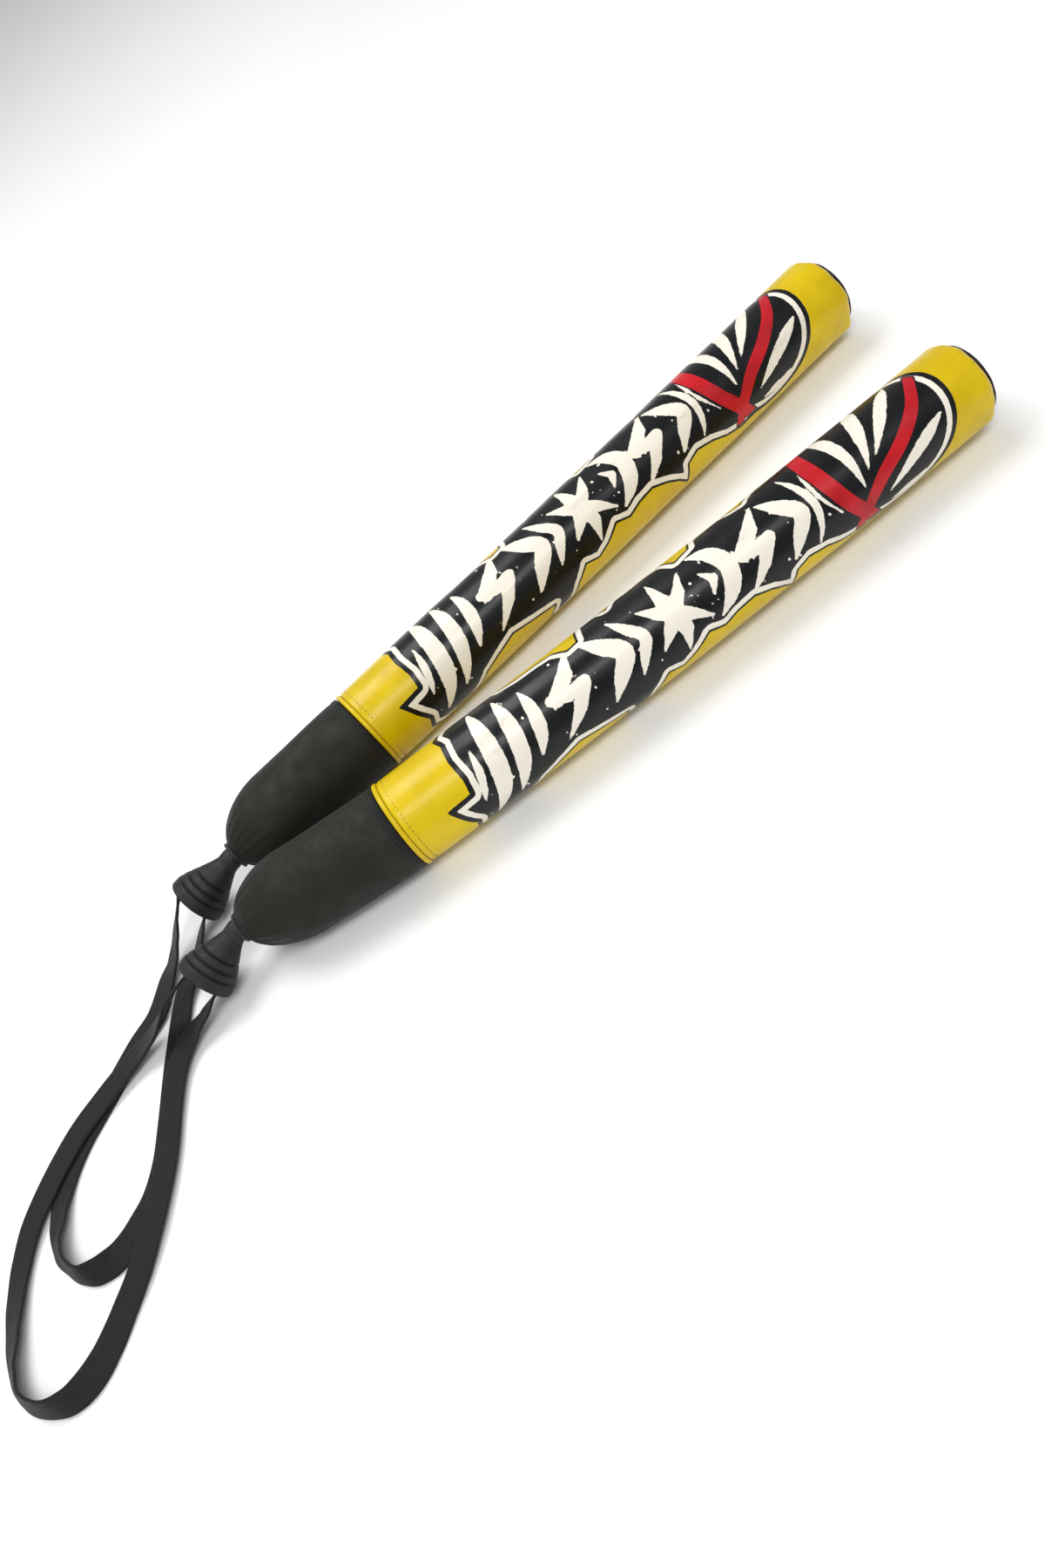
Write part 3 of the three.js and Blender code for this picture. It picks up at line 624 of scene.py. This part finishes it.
def webbing_material():
    """Narrow woven webbing: ribs along it, crossed by the slanting yarns of a twill."""
    sh = Shader("webbing", Sheen_Weight=0.08, Sheen_Roughness=0.4, Specular_IOR_Level=0.28)
    place = sh.node("SeparateXYZ", {0: sh.flat_place()})
    along, across = place.outputs[0], place.outputs[1]

    def waves(position, pitch):
        return sh.math("ABSOLUTE", sh.math("SINE", sh.math("MULTIPLY", position,
                                                           math.pi / pitch)))

    ribs = waves(across, RIB_PITCH)
    fold = sh.math("FRACT", sh.math("MULTIPLY", across, 1 / TWILL_W))
    fold = sh.math("ABSOLUTE", sh.math("SUBTRACT", fold, 0.5))
    yarn = waves(sh.math("ADD", along, sh.math("MULTIPLY", fold, TWILL_W)), YARN_PITCH)
    height = sh.math("ADD", sh.math("MULTIPLY", ribs, 0.55), sh.math("MULTIPLY", yarn, 0.45))
    fibre = sh.noise(2600, 2)
    # Painted shade: the colour follows the weave's height, darker in its hollows.
    colour = sh.mix(sh.ramp(height, 0.15, 0.8), rgb(10, 11, 10), rgb(29, 31, 28))
    lint = sh.ramp(sh.noise(240, 4, 0.7), 0.58, 0.76)
    colour = sh.mix(sh.math("MULTIPLY", lint, 0.25), colour, rgb(60, 62, 58))
    under = sh.bump(height, 0.00028, 0.9)
    rough = sh.ramp(fibre, 0.3, 0.7, 0.62, 0.8)
    return sh.finish(colour, rough, sh.bump(fibre, 0.00005, 0.6, under))


def foam_material():
    sh = Shader("foam", Specular_IOR_Level=0.3)
    cells = sh.cells(900)
    # Painted shade: darker in the pits of the foam's cells.
    colour = sh.mix(sh.ramp(cells, 0.1, 0.6), rgb(62, 64, 68), rgb(88, 91, 96))
    rough = sh.ramp(sh.noise(300, 3), 0.3, 0.7, 0.85, 0.97)
    return sh.finish(colour, rough, sh.bump(cells, 0.0003, 0.8))


def plastic_material(name, light, deep, roughness=(0.4, 0.55)):
    sh = Shader(name)
    colour = sh.mix(sh.ramp(sh.noise(80, 4), 0.3, 0.7), rgb(*light), rgb(*deep))
    rough = sh.ramp(sh.noise(200, 4), 0.3, 0.7, *roughness)
    return sh.finish(colour, rough, sh.bump(sh.noise(1200, 2), 0.00003, 0.4))


def steel_material():
    sh = Shader("steel", Metallic=1.0)
    brushed = sh.noise(500, 3, 0.6, sh.stretched(sh.object_place(), (0.1, 1, 1)))
    colour = sh.mix(sh.ramp(brushed, 0.3, 0.7), rgb(182, 184, 187), rgb(150, 152, 156))
    return sh.finish(colour, sh.ramp(brushed, 0.3, 0.7, 0.22, 0.36),
                     sh.bump(brushed, 0.00002, 0.4))


def thread_material(name, colour, deep):
    sh = Shader(name, Sheen_Weight=0.2)
    twist = sh.noise(3000, 2)
    return sh.finish(sh.mix(sh.ramp(twist, 0.3, 0.7), rgb(*colour), rgb(*deep)),
                     sh.ramp(twist, 0.3, 0.7, 0.55, 0.75), sh.bump(twist, 0.00006, 0.7))


MATERIALS = {
    "printed": printed_material(),
    "yellow": plain_cover_material("cover_yellow", YELLOW, YELLOW_DEEP),
    "black": plain_cover_material("tip_black", rgb(16, 17, 20), rgb(26, 27, 30)),
    "grip": grip_material(),
    "rubber": rubber_material(),
    "webbing": webbing_material(),
    "tie": thread_material("neck_tie", (30, 31, 30), (18, 19, 18)),
    "foam": foam_material(),
    "plastic": plastic_material("plug_plastic", (204, 204, 198), (186, 186, 180)),
    "plate": plastic_material("plate_plastic", (38, 39, 38), (28, 29, 28)),
    "tube": plastic_material("tube_plastic", (186, 190, 194), (168, 172, 176), (0.35, 0.5)),
    "steel": steel_material(),
    "thread": thread_material("topstitch", (120, 84, 22), (92, 60, 14)),
    "dark_thread": thread_material("dark_topstitch", (22, 22, 21), (14, 14, 14)),
}


# ---- camera ----
CAMERA_LENS = 27
CAMERA_PLACE = (-0.1109, -0.5177, 0.5228)
CAMERA_RIGHT = (0.7496, -0.5204, -0.4089)
CAMERA_FORWARD = (0.0522, 0.6624, -0.7473)


def add_camera():
    data = bpy.data.cameras.new("camera")
    data.lens = CAMERA_LENS
    data.sensor_width = 36
    camera = bpy.data.objects.new("camera", data)
    right = Vector(CAMERA_RIGHT).normalized()
    forward = Vector(CAMERA_FORWARD).normalized()
    up = right.cross(forward).normalized()
    axes = Matrix((right, up, -forward)).transposed()
    camera.matrix_world = Matrix.Translation(CAMERA_PLACE) @ axes.to_4x4()
    bpy.context.scene.collection.objects.link(camera)
    bpy.context.scene.camera = camera


# ---- routes and wrist straps ----
ROUTE_STEPS = 40        # places worked out between two points of a route


def smooth_route(points, tilts, step):
    """Places every so far along a smooth curve through the points, with their tilts."""
    points = np.array(points)
    ends = np.vstack([2 * points[0] - points[1], points, 2 * points[-1] - points[-2]])
    places, leans = [], []
    for i in range(len(points) - 1):
        p0, p1, p2, p3 = ends[i:i + 4]
        d0, d1, d2 = (np.linalg.norm(b - a) ** 0.5 for a, b in
                      ((p0, p1), (p1, p2), (p2, p3)))
        t1 = ((p1 - p0) / d0 - (p2 - p0) / (d0 + d1) + (p2 - p1) / d1) * d1
        t2 = ((p2 - p1) / d1 - (p3 - p1) / (d1 + d2) + (p3 - p2) / d2) * d1
        for t in np.arange(ROUTE_STEPS) / ROUTE_STEPS:
            places.append(p1 + t1 * t + (-3 * p1 + 3 * p2 - 2 * t1 - t2) * t * t
                          + (2 * p1 - 2 * p2 + t1 + t2) * t ** 3)
            leans.append(tilts[i] + (tilts[i + 1] - tilts[i]) * t * t * (3 - 2 * t))
    places.append(points[-1])
    leans.append(tilts[-1])
    places = np.array(places)
    run = np.concatenate([[0], np.cumsum(np.linalg.norm(np.diff(places, axis=0), axis=1))])
    even = np.linspace(0, run[-1], round(run[-1] / step) + 1)
    return (np.column_stack([np.interp(even, run, places[:, k]) for k in range(3)]),
            np.interp(even, run, leans), even)


def strap_route(side):
    """The centre line of a wrist strap, out of the upper slot and back into the lower one."""
    hinge = np.array(hinge_of(side)) / MM
    to_model = pommel_matrix(side)

    def at_slot(which, u):
        place = to_model @ Vector((-u, which * SLOT_OFFSET, 0))
        return np.array(place) / MM, -which * POMMEL_ROLL

    inner = PLATE_OUTER - PLATE_T
    stops = [at_slot(1, inner), at_slot(1, PLATE_OUTER), at_slot(1, BELL_L + 3)]
    for x, y, lift, tilt in STRAP_ROUTES[side]:
        lean = math.radians(tilt)
        height = (lift + STRAP_W / 2 * abs(math.sin(lean)) + STRAP_T / 2 * math.cos(lean))
        stops.append((np.array([hinge[0] + x, hinge[1] + y, height]), tilt))
    stops += [at_slot(-1, BELL_L + 3), at_slot(-1, PLATE_OUTER), at_slot(-1, inner)]
    return smooth_route([p for p, _ in stops], [t for _, t in stops], 1.5)


def directions(places):
    """Along a route, level across it, and up from it, at each of its places."""
    tangents = np.gradient(places, axis=0)
    tangents /= np.linalg.norm(tangents, axis=1)[:, None]
    across = np.cross([0, 0, 1.0], tangents)
    across /= np.linalg.norm(across, axis=1)[:, None]
    return tangents, across, np.cross(tangents, across)


def webbing_section():
    """The webbing's section [thickness, width]: flat faces and round edges."""
    t, w = STRAP_T / 2, STRAP_W / 2
    flat = np.linspace(-w + t, w - t, 9)
    edge = [(t * math.cos(a), w - t + t * math.sin(a))
            for a in np.radians([30, 60, 90, 120, 150])]
    return ([(t, v) for v in flat] + edge + [(-t, v) for v in flat[::-1]]
            + [(-a, -b) for a, b in edge])


def add_strap(side):
    places, tilts, run = strap_route(side)
    tangents, across, up = directions(places)
    lean = np.radians(tilts)[:, None]
    normals = np.cos(lean) * up + np.sin(lean) * across
    widths = np.cross(tangents, normals)
    section = webbing_section()
    points, flat = [], []
    girth = np.concatenate([[0], np.cumsum([math.dist(a, b) for a, b in
                                            zip(section, section[1:])])])
    for place, normal, width, along in zip(places, normals, widths, run):
        for (a, b), round_it in zip(section, girth):
            points.append(place + a * normal + b * width)
            flat.append((along, round_it))
    count = len(section)
    faces = grid_faces(len(places), count, cap=True)
    strap = new_piece(f"{side}_strap", np.array(points) * MM, faces, None,
                      MATERIALS["webbing"], [f"{side}_wrist_strap"], flat)
    hinge = hinge_of(side)
    near = Vector(moved(pommel_matrix(side), np.array([[-BELL_L - 4, 0, 0]]))[0])
    reach = (near - hinge)
    reach.z = 0
    reach.normalize()
    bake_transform(strap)


# ---- covers ----
def cover_profile():
    """The striking cover's outline: out along the outside, and back along the inside."""
    start = WELT_W + 0.6
    outside = [(start, BODY_R - 0.7), (start + 0.5, BODY_R - 0.4), (start + 1.2, BODY_R - 0.15)]
    outside += [(x, BODY_R) for x in evenly(start + 2, COVER_L - TIP_ROUNDING, 1.15)]
    corner = arc(COVER_L - TIP_ROUNDING, BODY_R - TIP_ROUNDING, TIP_ROUNDING, 90, 0, 8)[1:]
    inside = arc(COVER_L - TIP_ROUNDING, BODY_R - TIP_ROUNDING, TIP_ROUNDING - COVER_WALL,
                 0, 90, 6)
    hole = [(COVER_L, TIP_HOLE_R + 0.1), (COVER_L - COVER_WALL, TIP_HOLE_R + 0.1)]
    back = [(x, BODY_R - COVER_WALL) for x in evenly(COVER_L - TIP_ROUNDING - 12, start, 30)]
    return outside + corner[:-1] + hole + inside[1:] + back


def add_strike_cover(side):
    """The printed cover: gathered at the tip, sunk and puckered along its stitches."""
    stick = STICKS[side]
    seed = 3 if side == "front" else 8
    gather, slow = ripple(seed, 5, 9, 19), ripple(seed + 1, 3, 2, 4)
    facets = ripple(seed + 5, 3, 5, 8)
    pucker = ripple(seed + 2, 4, 40, 60)

    def wobble(x, angle, radius):
        outer = smooth(BODY_R - 8, BODY_R - 1.5, radius)
        drawn = smooth(COVER_L - TIP_GATHER_L, COVER_L - 1, x) * (
            0.35 + 0.6 * gather(angle) + facets(angle)) * TIP_GATHER_D
        waves = 0.16 * slow(angle + x * 0.004) + 0.12 * np.sin(x * 0.05 + 2 * angle)
        sewn = 0.16 * pucker(angle) * np.exp(-((x - TOPSTITCH_X) / 2.2) ** 2)
        line = 0.22 * np.exp(-((x - TOPSTITCH_X) / 0.9) ** 2)
        return -outer * (drawn + line) + outer * (waves + sewn)

    profile = cover_profile()
    points, x, angle = turned(profile, COVER_SIDES, wobble)
    cover = new_piece(
        f"{side}_cover", resting(on_stick(side, points)),
        grid_faces(len(profile), COVER_SIDES, close_rows=True), f"{side}_stick",
        MATERIALS["printed"], [f"{side}_strike_cover"])
    turn = np.degrees(angle) - stick["print_angle"]
    turn = (turn + 180) % 360 - 180
    layers = print_layers(x - stick["print_shift"], np.radians(turn) * BODY_R)
    for name, values in zip(("field", "edge", "white", "red"), layers):
        set_values(cover, name, values)


def add_welt(side):
    """The folded hem where the covers are sewn together."""
    swell = ripple(21 if side == "front" else 22, 5, 12, 30)
    section = [(0.2, -1.6), (0.25, -0.2), (0.7, 0.25), (1.3, 0.42), (1.9, 0.42), (2.6, 0.25),
               (3.1, -0.15), (3.2, -1.6)]
    points, _, _ = turned([(x, BODY_R + r) for x, r in section], COVER_SIDES,
                          lambda x, angle, r: 0.12 * swell(angle) * (r > BODY_R))
    new_piece(f"{side}_welt", resting(on_stick(side, points)),
              grid_faces(len(section), COVER_SIDES, close_rows=True), f"{side}_stick",
              MATERIALS["yellow"], [f"{side}_joint_welt"])


def grip_radius(x):
    """The grip's outside radius: full, then rounded off to the mouth."""
    start = -(GRIP_L - SHOULDER_L)
    reach = SHOULDER_L / math.sqrt(1 - (MOUTH_R / BODY_R) ** 2)
    into = np.clip((start - np.asarray(x, float)) / reach, 0, 1)
    return BODY_R * np.sqrt(1 - into ** 2)


def add_grip_cover(side):
    """The soft grip cover: gathered into the neck, a little lumpy, with a sewn hem."""
    seed = 31 if side == "front" else 37
    slow, folds = ripple(seed, 4, 2, 5), ripple(seed + 1, 5, 9, 15)
    fine = ripple(seed + 2, 4, 17, 26)
    outside = [(-0.35, BODY_R - 0.9), (-0.6, BODY_R - 0.35), (-1.2, BODY_R - 0.12)]
    outside += [(x, float(grip_radius(x))) for x in evenly(-2, -GRIP_L + 0.6, 1.1)]
    rolled = [(-GRIP_L, MOUTH_R - 0.25), (-GRIP_L - 0.1, MOUTH_R - 0.8),
              (-GRIP_L + 0.6, MOUTH_R - 1.1)]
    back = [(x, float(grip_radius(x)) - COVER_WALL) for x in evenly(-GRIP_L + 4, -1, 6)]
    profile = outside + rolled + back + [(-0.35, BODY_R - COVER_WALL - 0.2)]

    def wobble(x, angle, radius):
        skin = radius > grip_radius(x) - 0.95
        pull = smooth(-GRIP_L + CREASE_L, -GRIP_L + 3, x) * (1 - 0.75 * smooth(
            -GRIP_L + 4, -GRIP_L - 0.5, x))
        crease = pull * (0.9 * np.abs(folds(angle)) ** 0.7 + 0.35 * fine(angle)) * CREASE_D
        lumps = 0.28 * slow(angle + 0.03 * x) + 0.16 * np.sin(0.09 * x + 3 * angle + seed)
        groove = 0.3 * np.exp(-((x + HEM_W) / 0.45) ** 2)
        return np.where(skin, lumps * smooth(0, -12, x) - crease - groove, 0)

    points, x, angle = turned(profile, COVER_SIDES, wobble)
    grip = new_piece(
        f"{side}_grip", resting(on_stick(side, points)),
        grid_faces(len(profile), COVER_SIDES, close_rows=True, flip=True), f"{side}_stick",
        MATERIALS["grip"], [f"{side}_grip_cover"])
    # The hem band, which the grip's material darkens as painted shade beside the welt.
    set_values(grip, "hem", np.where(x > -HEM_W, 1.0, 0.0))


def add_tip(side):
    """The domed end disc and the piped edge round it."""
    swell = ripple(51 if side == "front" else 52, 5, 7, 17)
    radius = TIP_HOLE_R - 0.3
    bulge = (radius ** 2 + DISC_DOME ** 2) / (2 * DISC_DOME)
    dome = [(COVER_L + DISC_DOME - bulge + math.sqrt(bulge ** 2 - r * r), r)
            for r in np.linspace(radius - 0.6, 0.4, 14)]
    profile = [(COVER_L - DISC_T, 0.4), (COVER_L - DISC_T, radius), (COVER_L - 0.2, radius)]
    profile += dome
    points, _, _ = turned(profile, TURNED_SIDES)
    x, y, z = points.T
    x += TIP_SWELL * swell(np.arctan2(y, z)) * (x > COVER_L - 1) * np.hypot(y, z) / radius
    new_piece(f"{side}_end_disc", on_stick(side, points),
              grid_faces(len(profile), TURNED_SIDES, cap=True), f"{side}_stick",
              MATERIALS["black"], [f"{side}_tip_disc"])
    section = arc(COVER_L + 0.3 + PIPING_R, TIP_HOLE_R + PIPING_R, PIPING_R, 0, 330, 11)
    sides = 120
    points, _, _ = turned(section, sides, lambda x, angle, r: TIP_SWELL * swell(angle + 1))
    new_piece(f"{side}_end_piping", on_stick(side, points),
              grid_faces(len(section), sides, close_rows=True, flip=True), f"{side}_stick",
              MATERIALS["black"], [f"{side}_tip_piping"])


def stitch_row(name, side, places, length, thickness, material):
    """A row of short sunk stitches; each place is [x, angle, radius, runs along x]."""
    points, faces = [], []
    rings, sides = 5, 6
    for x, angle, radius, along in places:
        base = len(points)
        for i in range(rings + 1):
            t = -1 + 2 * i / rings
            bulge = thickness * math.sqrt(max(0.04, 1 - t * t))
            step = t * length / 2
            for j in range(sides):
                a = math.tau * j / sides
                sideways, lift = bulge * math.cos(a), bulge * math.sin(a)
                lift -= thickness * 0.5 * t * t
                r = radius + lift
                if along:
                    px, pa = x + step, angle + sideways / radius
                else:
                    px, pa = x + sideways, angle + step / radius
                points.append((px, -r * math.sin(pa), r * math.cos(pa)))
        for i in range(rings):
            for j in range(sides):
                a, b = base + i * sides + j, base + i * sides + (j + 1) % sides
                faces.append((a, a + sides, b + sides, b))
        faces.append(tuple(base + j for j in range(sides)))
        faces.append(tuple(base + rings * sides + j for j in reversed(range(sides))))
    return new_piece(name, on_stick(side, np.array(points)), faces, f"{side}_stick",
                     material)


def stitch_ring(x, offset, radius):
    """Places of the stitches of a row round the stick."""
    return [(x, math.tau * (i + offset) / STITCH_COUNT, radius, False)
            for i in range(STITCH_COUNT)]


def add_stitching(side):
    stitch_row(f"{side}_topstitch", side, stitch_ring(TOPSTITCH_X, 0, BODY_R - 0.16),
               STITCH_L, 0.24, MATERIALS["thread"])
    stitch_row(f"{side}_hem_stitch", side, stitch_ring(HEM_STITCH_X, 0.5, BODY_R - 0.02),
               STITCH_L, 0.22, MATERIALS["dark_thread"])


def add_seam(side):
    """The lengthwise lapped seam of the striking cover, with a row of stitches."""
    angle0 = math.radians(SEAM_ANGLE)
    half = SEAM_W / 2 / BODY_R
    section = [(-half * 1.15, -0.5), (-half * 1.1, 0.1), (-half * 0.9, SEAM_LIFT),
               (half * 0.9, SEAM_LIFT), (half * 1.1, 0.1), (half * 1.15, -0.5)]
    xs = evenly(WELT_W + 1.2, COVER_L - 3.6, 4)
    rng = random.Random(61)
    points = []
    for x in xs:
        drift = rng.uniform(-0.006, 0.006)
        for turn, lift in section:
            a, r = angle0 + turn + drift, BODY_R + lift
            points.append((x, -r * math.sin(a), r * math.cos(a)))
    count = len(section)
    new_piece(f"{side}_cover_seam", on_stick(side, np.array(points)),
              grid_faces(len(xs), count, cap=True, flip=True), f"{side}_stick",
              MATERIALS["yellow"], [f"{side}_cover_seam_tape"])
    row = [(x, angle0, BODY_R + SEAM_LIFT, True)
           for x in evenly(12, COVER_L - 10, SEAM_STITCH_PITCH)]
    stitch_row(f"{side}_seam_stitch", side, row, SEAM_STITCH_L, 0.22, MATERIALS["thread"])


def add_binding(side):
    """The tie round the grip cover's mouth: turns of cord side by side."""
    turns, cord = 2, BINDING_L / 4
    end = -(GRIP_L + 0.3)
    section = [(end, BINDING_R - 1.3)]
    for i in range(turns):
        middle = end - cord * (1 + 2 * i)
        section += arc(middle, BINDING_R - cord, cord, 20, 160, 6)
    section.append((end - BINDING_L, BINDING_R - 1.3))
    swell = ripple(71, 4, 30, 44)
    points, _, _ = turned(section, TURNED_SIDES, lambda x, angle, r: 0.05 * swell(angle))
    new_piece(f"{side}_neck_tie", on_stick(side, points),
              grid_faces(len(section), TURNED_SIDES, close_rows=True, flip=True),
              f"{side}_stick", MATERIALS["tie"], [f"{side}_neck_binding"])


# ---- pommel ----
def bell_radius(u):
    """The pommel's outside radius at u from the hinge: a flare, then a nearly straight lip."""
    lip = BELL_L - BELL_LIP_L
    t = np.clip((u - BELL_NECK_L) / (lip - BELL_NECK_L), 0, 1)
    flare = BELL_TOP_R + (BELL_RIM_R - BELL_LIP_STEP - BELL_TOP_R) * (
        0.75 * t + 0.25 * t * t * (3 - 2 * t))
    return flare + BELL_LIP_STEP * np.clip((u - lip) / BELL_LIP_L, 0, 1)


def groove_cut(u):
    """How far the grooves cut in at u from the hinge, from 0 to 1."""
    return min(1, sum(math.exp(-(((u - BELL_L + above) / (GROOVE_W / 2)) ** 4))
                      for above in GROOVES))


def bell_profile():
    """The pommel's outline: its rounded top and outside, the rim, and back up its bores."""
    outside = [(u, max(5.75, math.sqrt(BELL_TOP_R ** 2 - u * u)))
               for u in evenly(-BELL_TOP_CUT, 0, 0.6)[:-1]]
    outside += [(u, float(bell_radius(u)) - GROOVE_D * groove_cut(u))
                for u in evenly(0, BELL_L - RIM_ROUNDING, 0.32)]
    rim = [(BELL_L + RIM_ROUNDING * (math.sin(a) - 1),
            BELL_RIM_R + RIM_ROUNDING * (math.cos(a) - 1))
           for a in np.radians([20, 45, 70, 90])]
    seat = PLATE_R + PLATE_GAP
    deep = PLATE_OUTER - PLATE_T
    inside = [(BELL_L, seat + 0.35), (BELL_L - 0.35, seat), (deep - PLATE_GAP, seat),
              (deep - PLATE_GAP, seat - 1.4),
              (deep - 7, float(bell_radius(deep - 7)) - BELL_WALL),
              (LINK_L + 3.3, FERRULE_BORE_R), (LINK_L - 2.3, FERRULE_BORE_R),
              (LINK_L - 2.3, LINK_BORE_R), (1, LINK_BORE_R), (-BELL_TOP_CUT, 5.3)]
    return [(-u, r) for u, r in outside + rim + inside]


def add_pommel(side):
    profile = bell_profile()
    points, x, _ = turned(profile, TURNED_SIDES)
    bell = new_piece(f"{side}_bell", on_pommel(side, points),
                     grid_faces(len(profile), TURNED_SIDES, close_rows=True, flip=True),
                     f"{side}_pommel", MATERIALS["rubber"],
                     [f"{side}_pommel_bell"])
    # Groove depth, which the rubber uses to paint shade into its grooves.
    set_values(bell, "groove", [groove_cut(-place) for place in x])


def add_plate(side):
    """The slotted plate inside the rim, with softened edges."""
    curve = bpy.data.curves.new(f"{side}_plate", "CURVE")
    curve.dimensions = "2D"
    curve.fill_mode = "BOTH"
    rim = PLATE_R - PLATE_BEVEL
    outlines = [[(rim * math.cos(a), rim * math.sin(a))
                 for a in np.arange(72) * math.tau / 72]]
    half_t = STRAP_T / 2 + SLOT_CLEAR - SLOT_CORNER_R
    half_w = STRAP_W / 2 + SLOT_CLEAR - SLOT_CORNER_R
    for which in (-1, 1):
        outlines.append([
            (which * SLOT_OFFSET + cx * half_t + SLOT_CORNER_R * math.cos(a),
             cy * half_w + SLOT_CORNER_R * math.sin(a))
            for cx, cy, turn in ((1, 1, 0), (-1, 1, 90), (-1, -1, 180), (1, -1, 270))
            for a in np.radians([turn, turn + 30, turn + 60, turn + 90])])
    for outline in outlines:
        spline = curve.splines.new("POLY")
        spline.points.add(len(outline) - 1)
        for point, (x, y) in zip(spline.points, outline):
            point.co = (x, y, 0, 1)
        spline.use_cyclic_u = True
    curve.extrude = PLATE_T / 2 - PLATE_BEVEL
    curve.bevel_depth = PLATE_BEVEL
    curve.bevel_resolution = 1
    source = bpy.data.objects.new("plate_outline", curve)
    bpy.context.scene.collection.objects.link(source)
    mesh = bpy.data.meshes.new_from_object(source)
    bpy.data.objects.remove(source)
    middle = -(PLATE_OUTER - PLATE_T / 2)
    points = np.array([(middle + v.co.z, v.co.x, v.co.y) for v in mesh.vertices])
    faces = [tuple(p.vertices) for p in mesh.polygons]
    bpy.data.meshes.remove(mesh)
    plate = new_piece(f"{side}_plate", on_pommel(side, points), faces, f"{side}_pommel",
                      MATERIALS["plate"], [f"{side}_strap_plate"])
    plate.data.set_sharp_from_angle(angle=math.radians(35))


def add_link(side):
    """The flexible link between the grip and the pommel."""
    stick = STICKS[side]
    stops = []
    for x in (LINK_START, (LINK_START + HINGE_X) / 2, HINGE_X + 5):
        y, _ = centre_line(stick, x)
        stops.append(moved(stick_matrix(side), np.array([[x, float(y), 0]]))[0] / MM)
    stops += [on_pommel(side, np.array([[-u, 0, 0]]))[0] / MM for u in (4, LINK_L)]
    places, _, _ = smooth_route(stops, [0] * len(stops), 1.0)
    _, across, up = directions(places)
    sides = 20
    points = []
    for i, place in enumerate(places):
        r = LINK_R - (0.3 if i in (0, len(places) - 1) else 0)
        for a in np.arange(sides) * math.tau / sides:
            points.append(place + r * (math.cos(a) * across[i] + math.sin(a) * up[i]))
    link = new_piece(f"{side}_link", np.array(points) * MM,
                     grid_faces(len(places), sides, cap=True), None,
                     MATERIALS["rubber"], [f"{side}_neck_link"])
    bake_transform(link)


# ---- CAD pieces that stay ----
KEPT = {
    "core_tube": "tube", "tip_plug": "plastic", "end_plug": "plastic", "strike_foam": "foam",
    "tip_pad": "foam", "grip_foam": "foam", "link_ferrule": "steel",
    "strap_pin_upper": "steel", "strap_pin_lower": "steel",
}


def dress_kept_nodes():
    for side in STICKS:
        for node, material in KEPT.items():
            obj = frame["nodes"][f"{side}_{node}"]
            for slot in obj.material_slots:
                slot.material = MATERIALS[material]


# ---- floor and light ----
FLOOR_REACH = 6         # metres


def add_floor():
    mesh = bpy.data.meshes.new("floor")
    corners = [(x * FLOOR_REACH, y * FLOOR_REACH, 0)
               for x, y in ((-1, -1), (1, -1), (1, 1), (-1, 1))]
    mesh.from_pydata(corners, [], [(0, 1, 2, 3)])
    sh = Shader("floor", Specular_IOR_Level=0.1)
    tone = sh.ramp(sh.noise(2, 2), 0.3, 0.7)
    mesh.materials.append(sh.finish(sh.mix(tone, rgb(247, 247, 246), rgb(244, 244, 243)), 0.9))
    floor = bpy.data.objects.new("floor", mesh)
    bpy.context.scene.collection.objects.link(floor)


# Soft boxes aimed at the middle of the floor: name, place, size in metres, watts.
LIGHTS = [
    ("key", (-0.3, 0.9, 1.7), (1.4, 1.0), 24),
    ("top", (0.0, -0.95, 1.75), (1.5, 0.5), 17),
    ("fill", (-1.3, -1.4, 1.2), (1.2, 1.2), 3),
]
SKY_STRENGTH = 0.42


def add_lights():
    for name, place, size, power in LIGHTS:
        data = bpy.data.lights.new(name, "AREA")
        data.shape = "RECTANGLE"
        data.size, data.size_y = size
        data.energy = power
        light = bpy.data.objects.new(name, data)
        light.location = place
        light.rotation_euler = (-Vector(place)).to_track_quat("-Z", "Y").to_euler()
        bpy.context.scene.collection.objects.link(light)
    world = bpy.data.worlds.new("studio")
    world.use_nodes = True
    sky = world.node_tree.nodes["Background"]
    sky.inputs["Color"].default_value = (1, 1, 1, 1)
    sky.inputs["Strength"].default_value = SKY_STRENGTH
    bpy.context.scene.world = world
    bpy.context.scene.view_settings.view_transform = "Standard"


add_camera()
add_floor()
add_lights()
for side_name in STICKS:
    for add_part in (add_strap, add_strike_cover, add_welt, add_grip_cover, add_tip,
                     add_stitching, add_seam, add_binding, add_pommel, add_plate, add_link):
        add_part(side_name)
dress_kept_nodes()
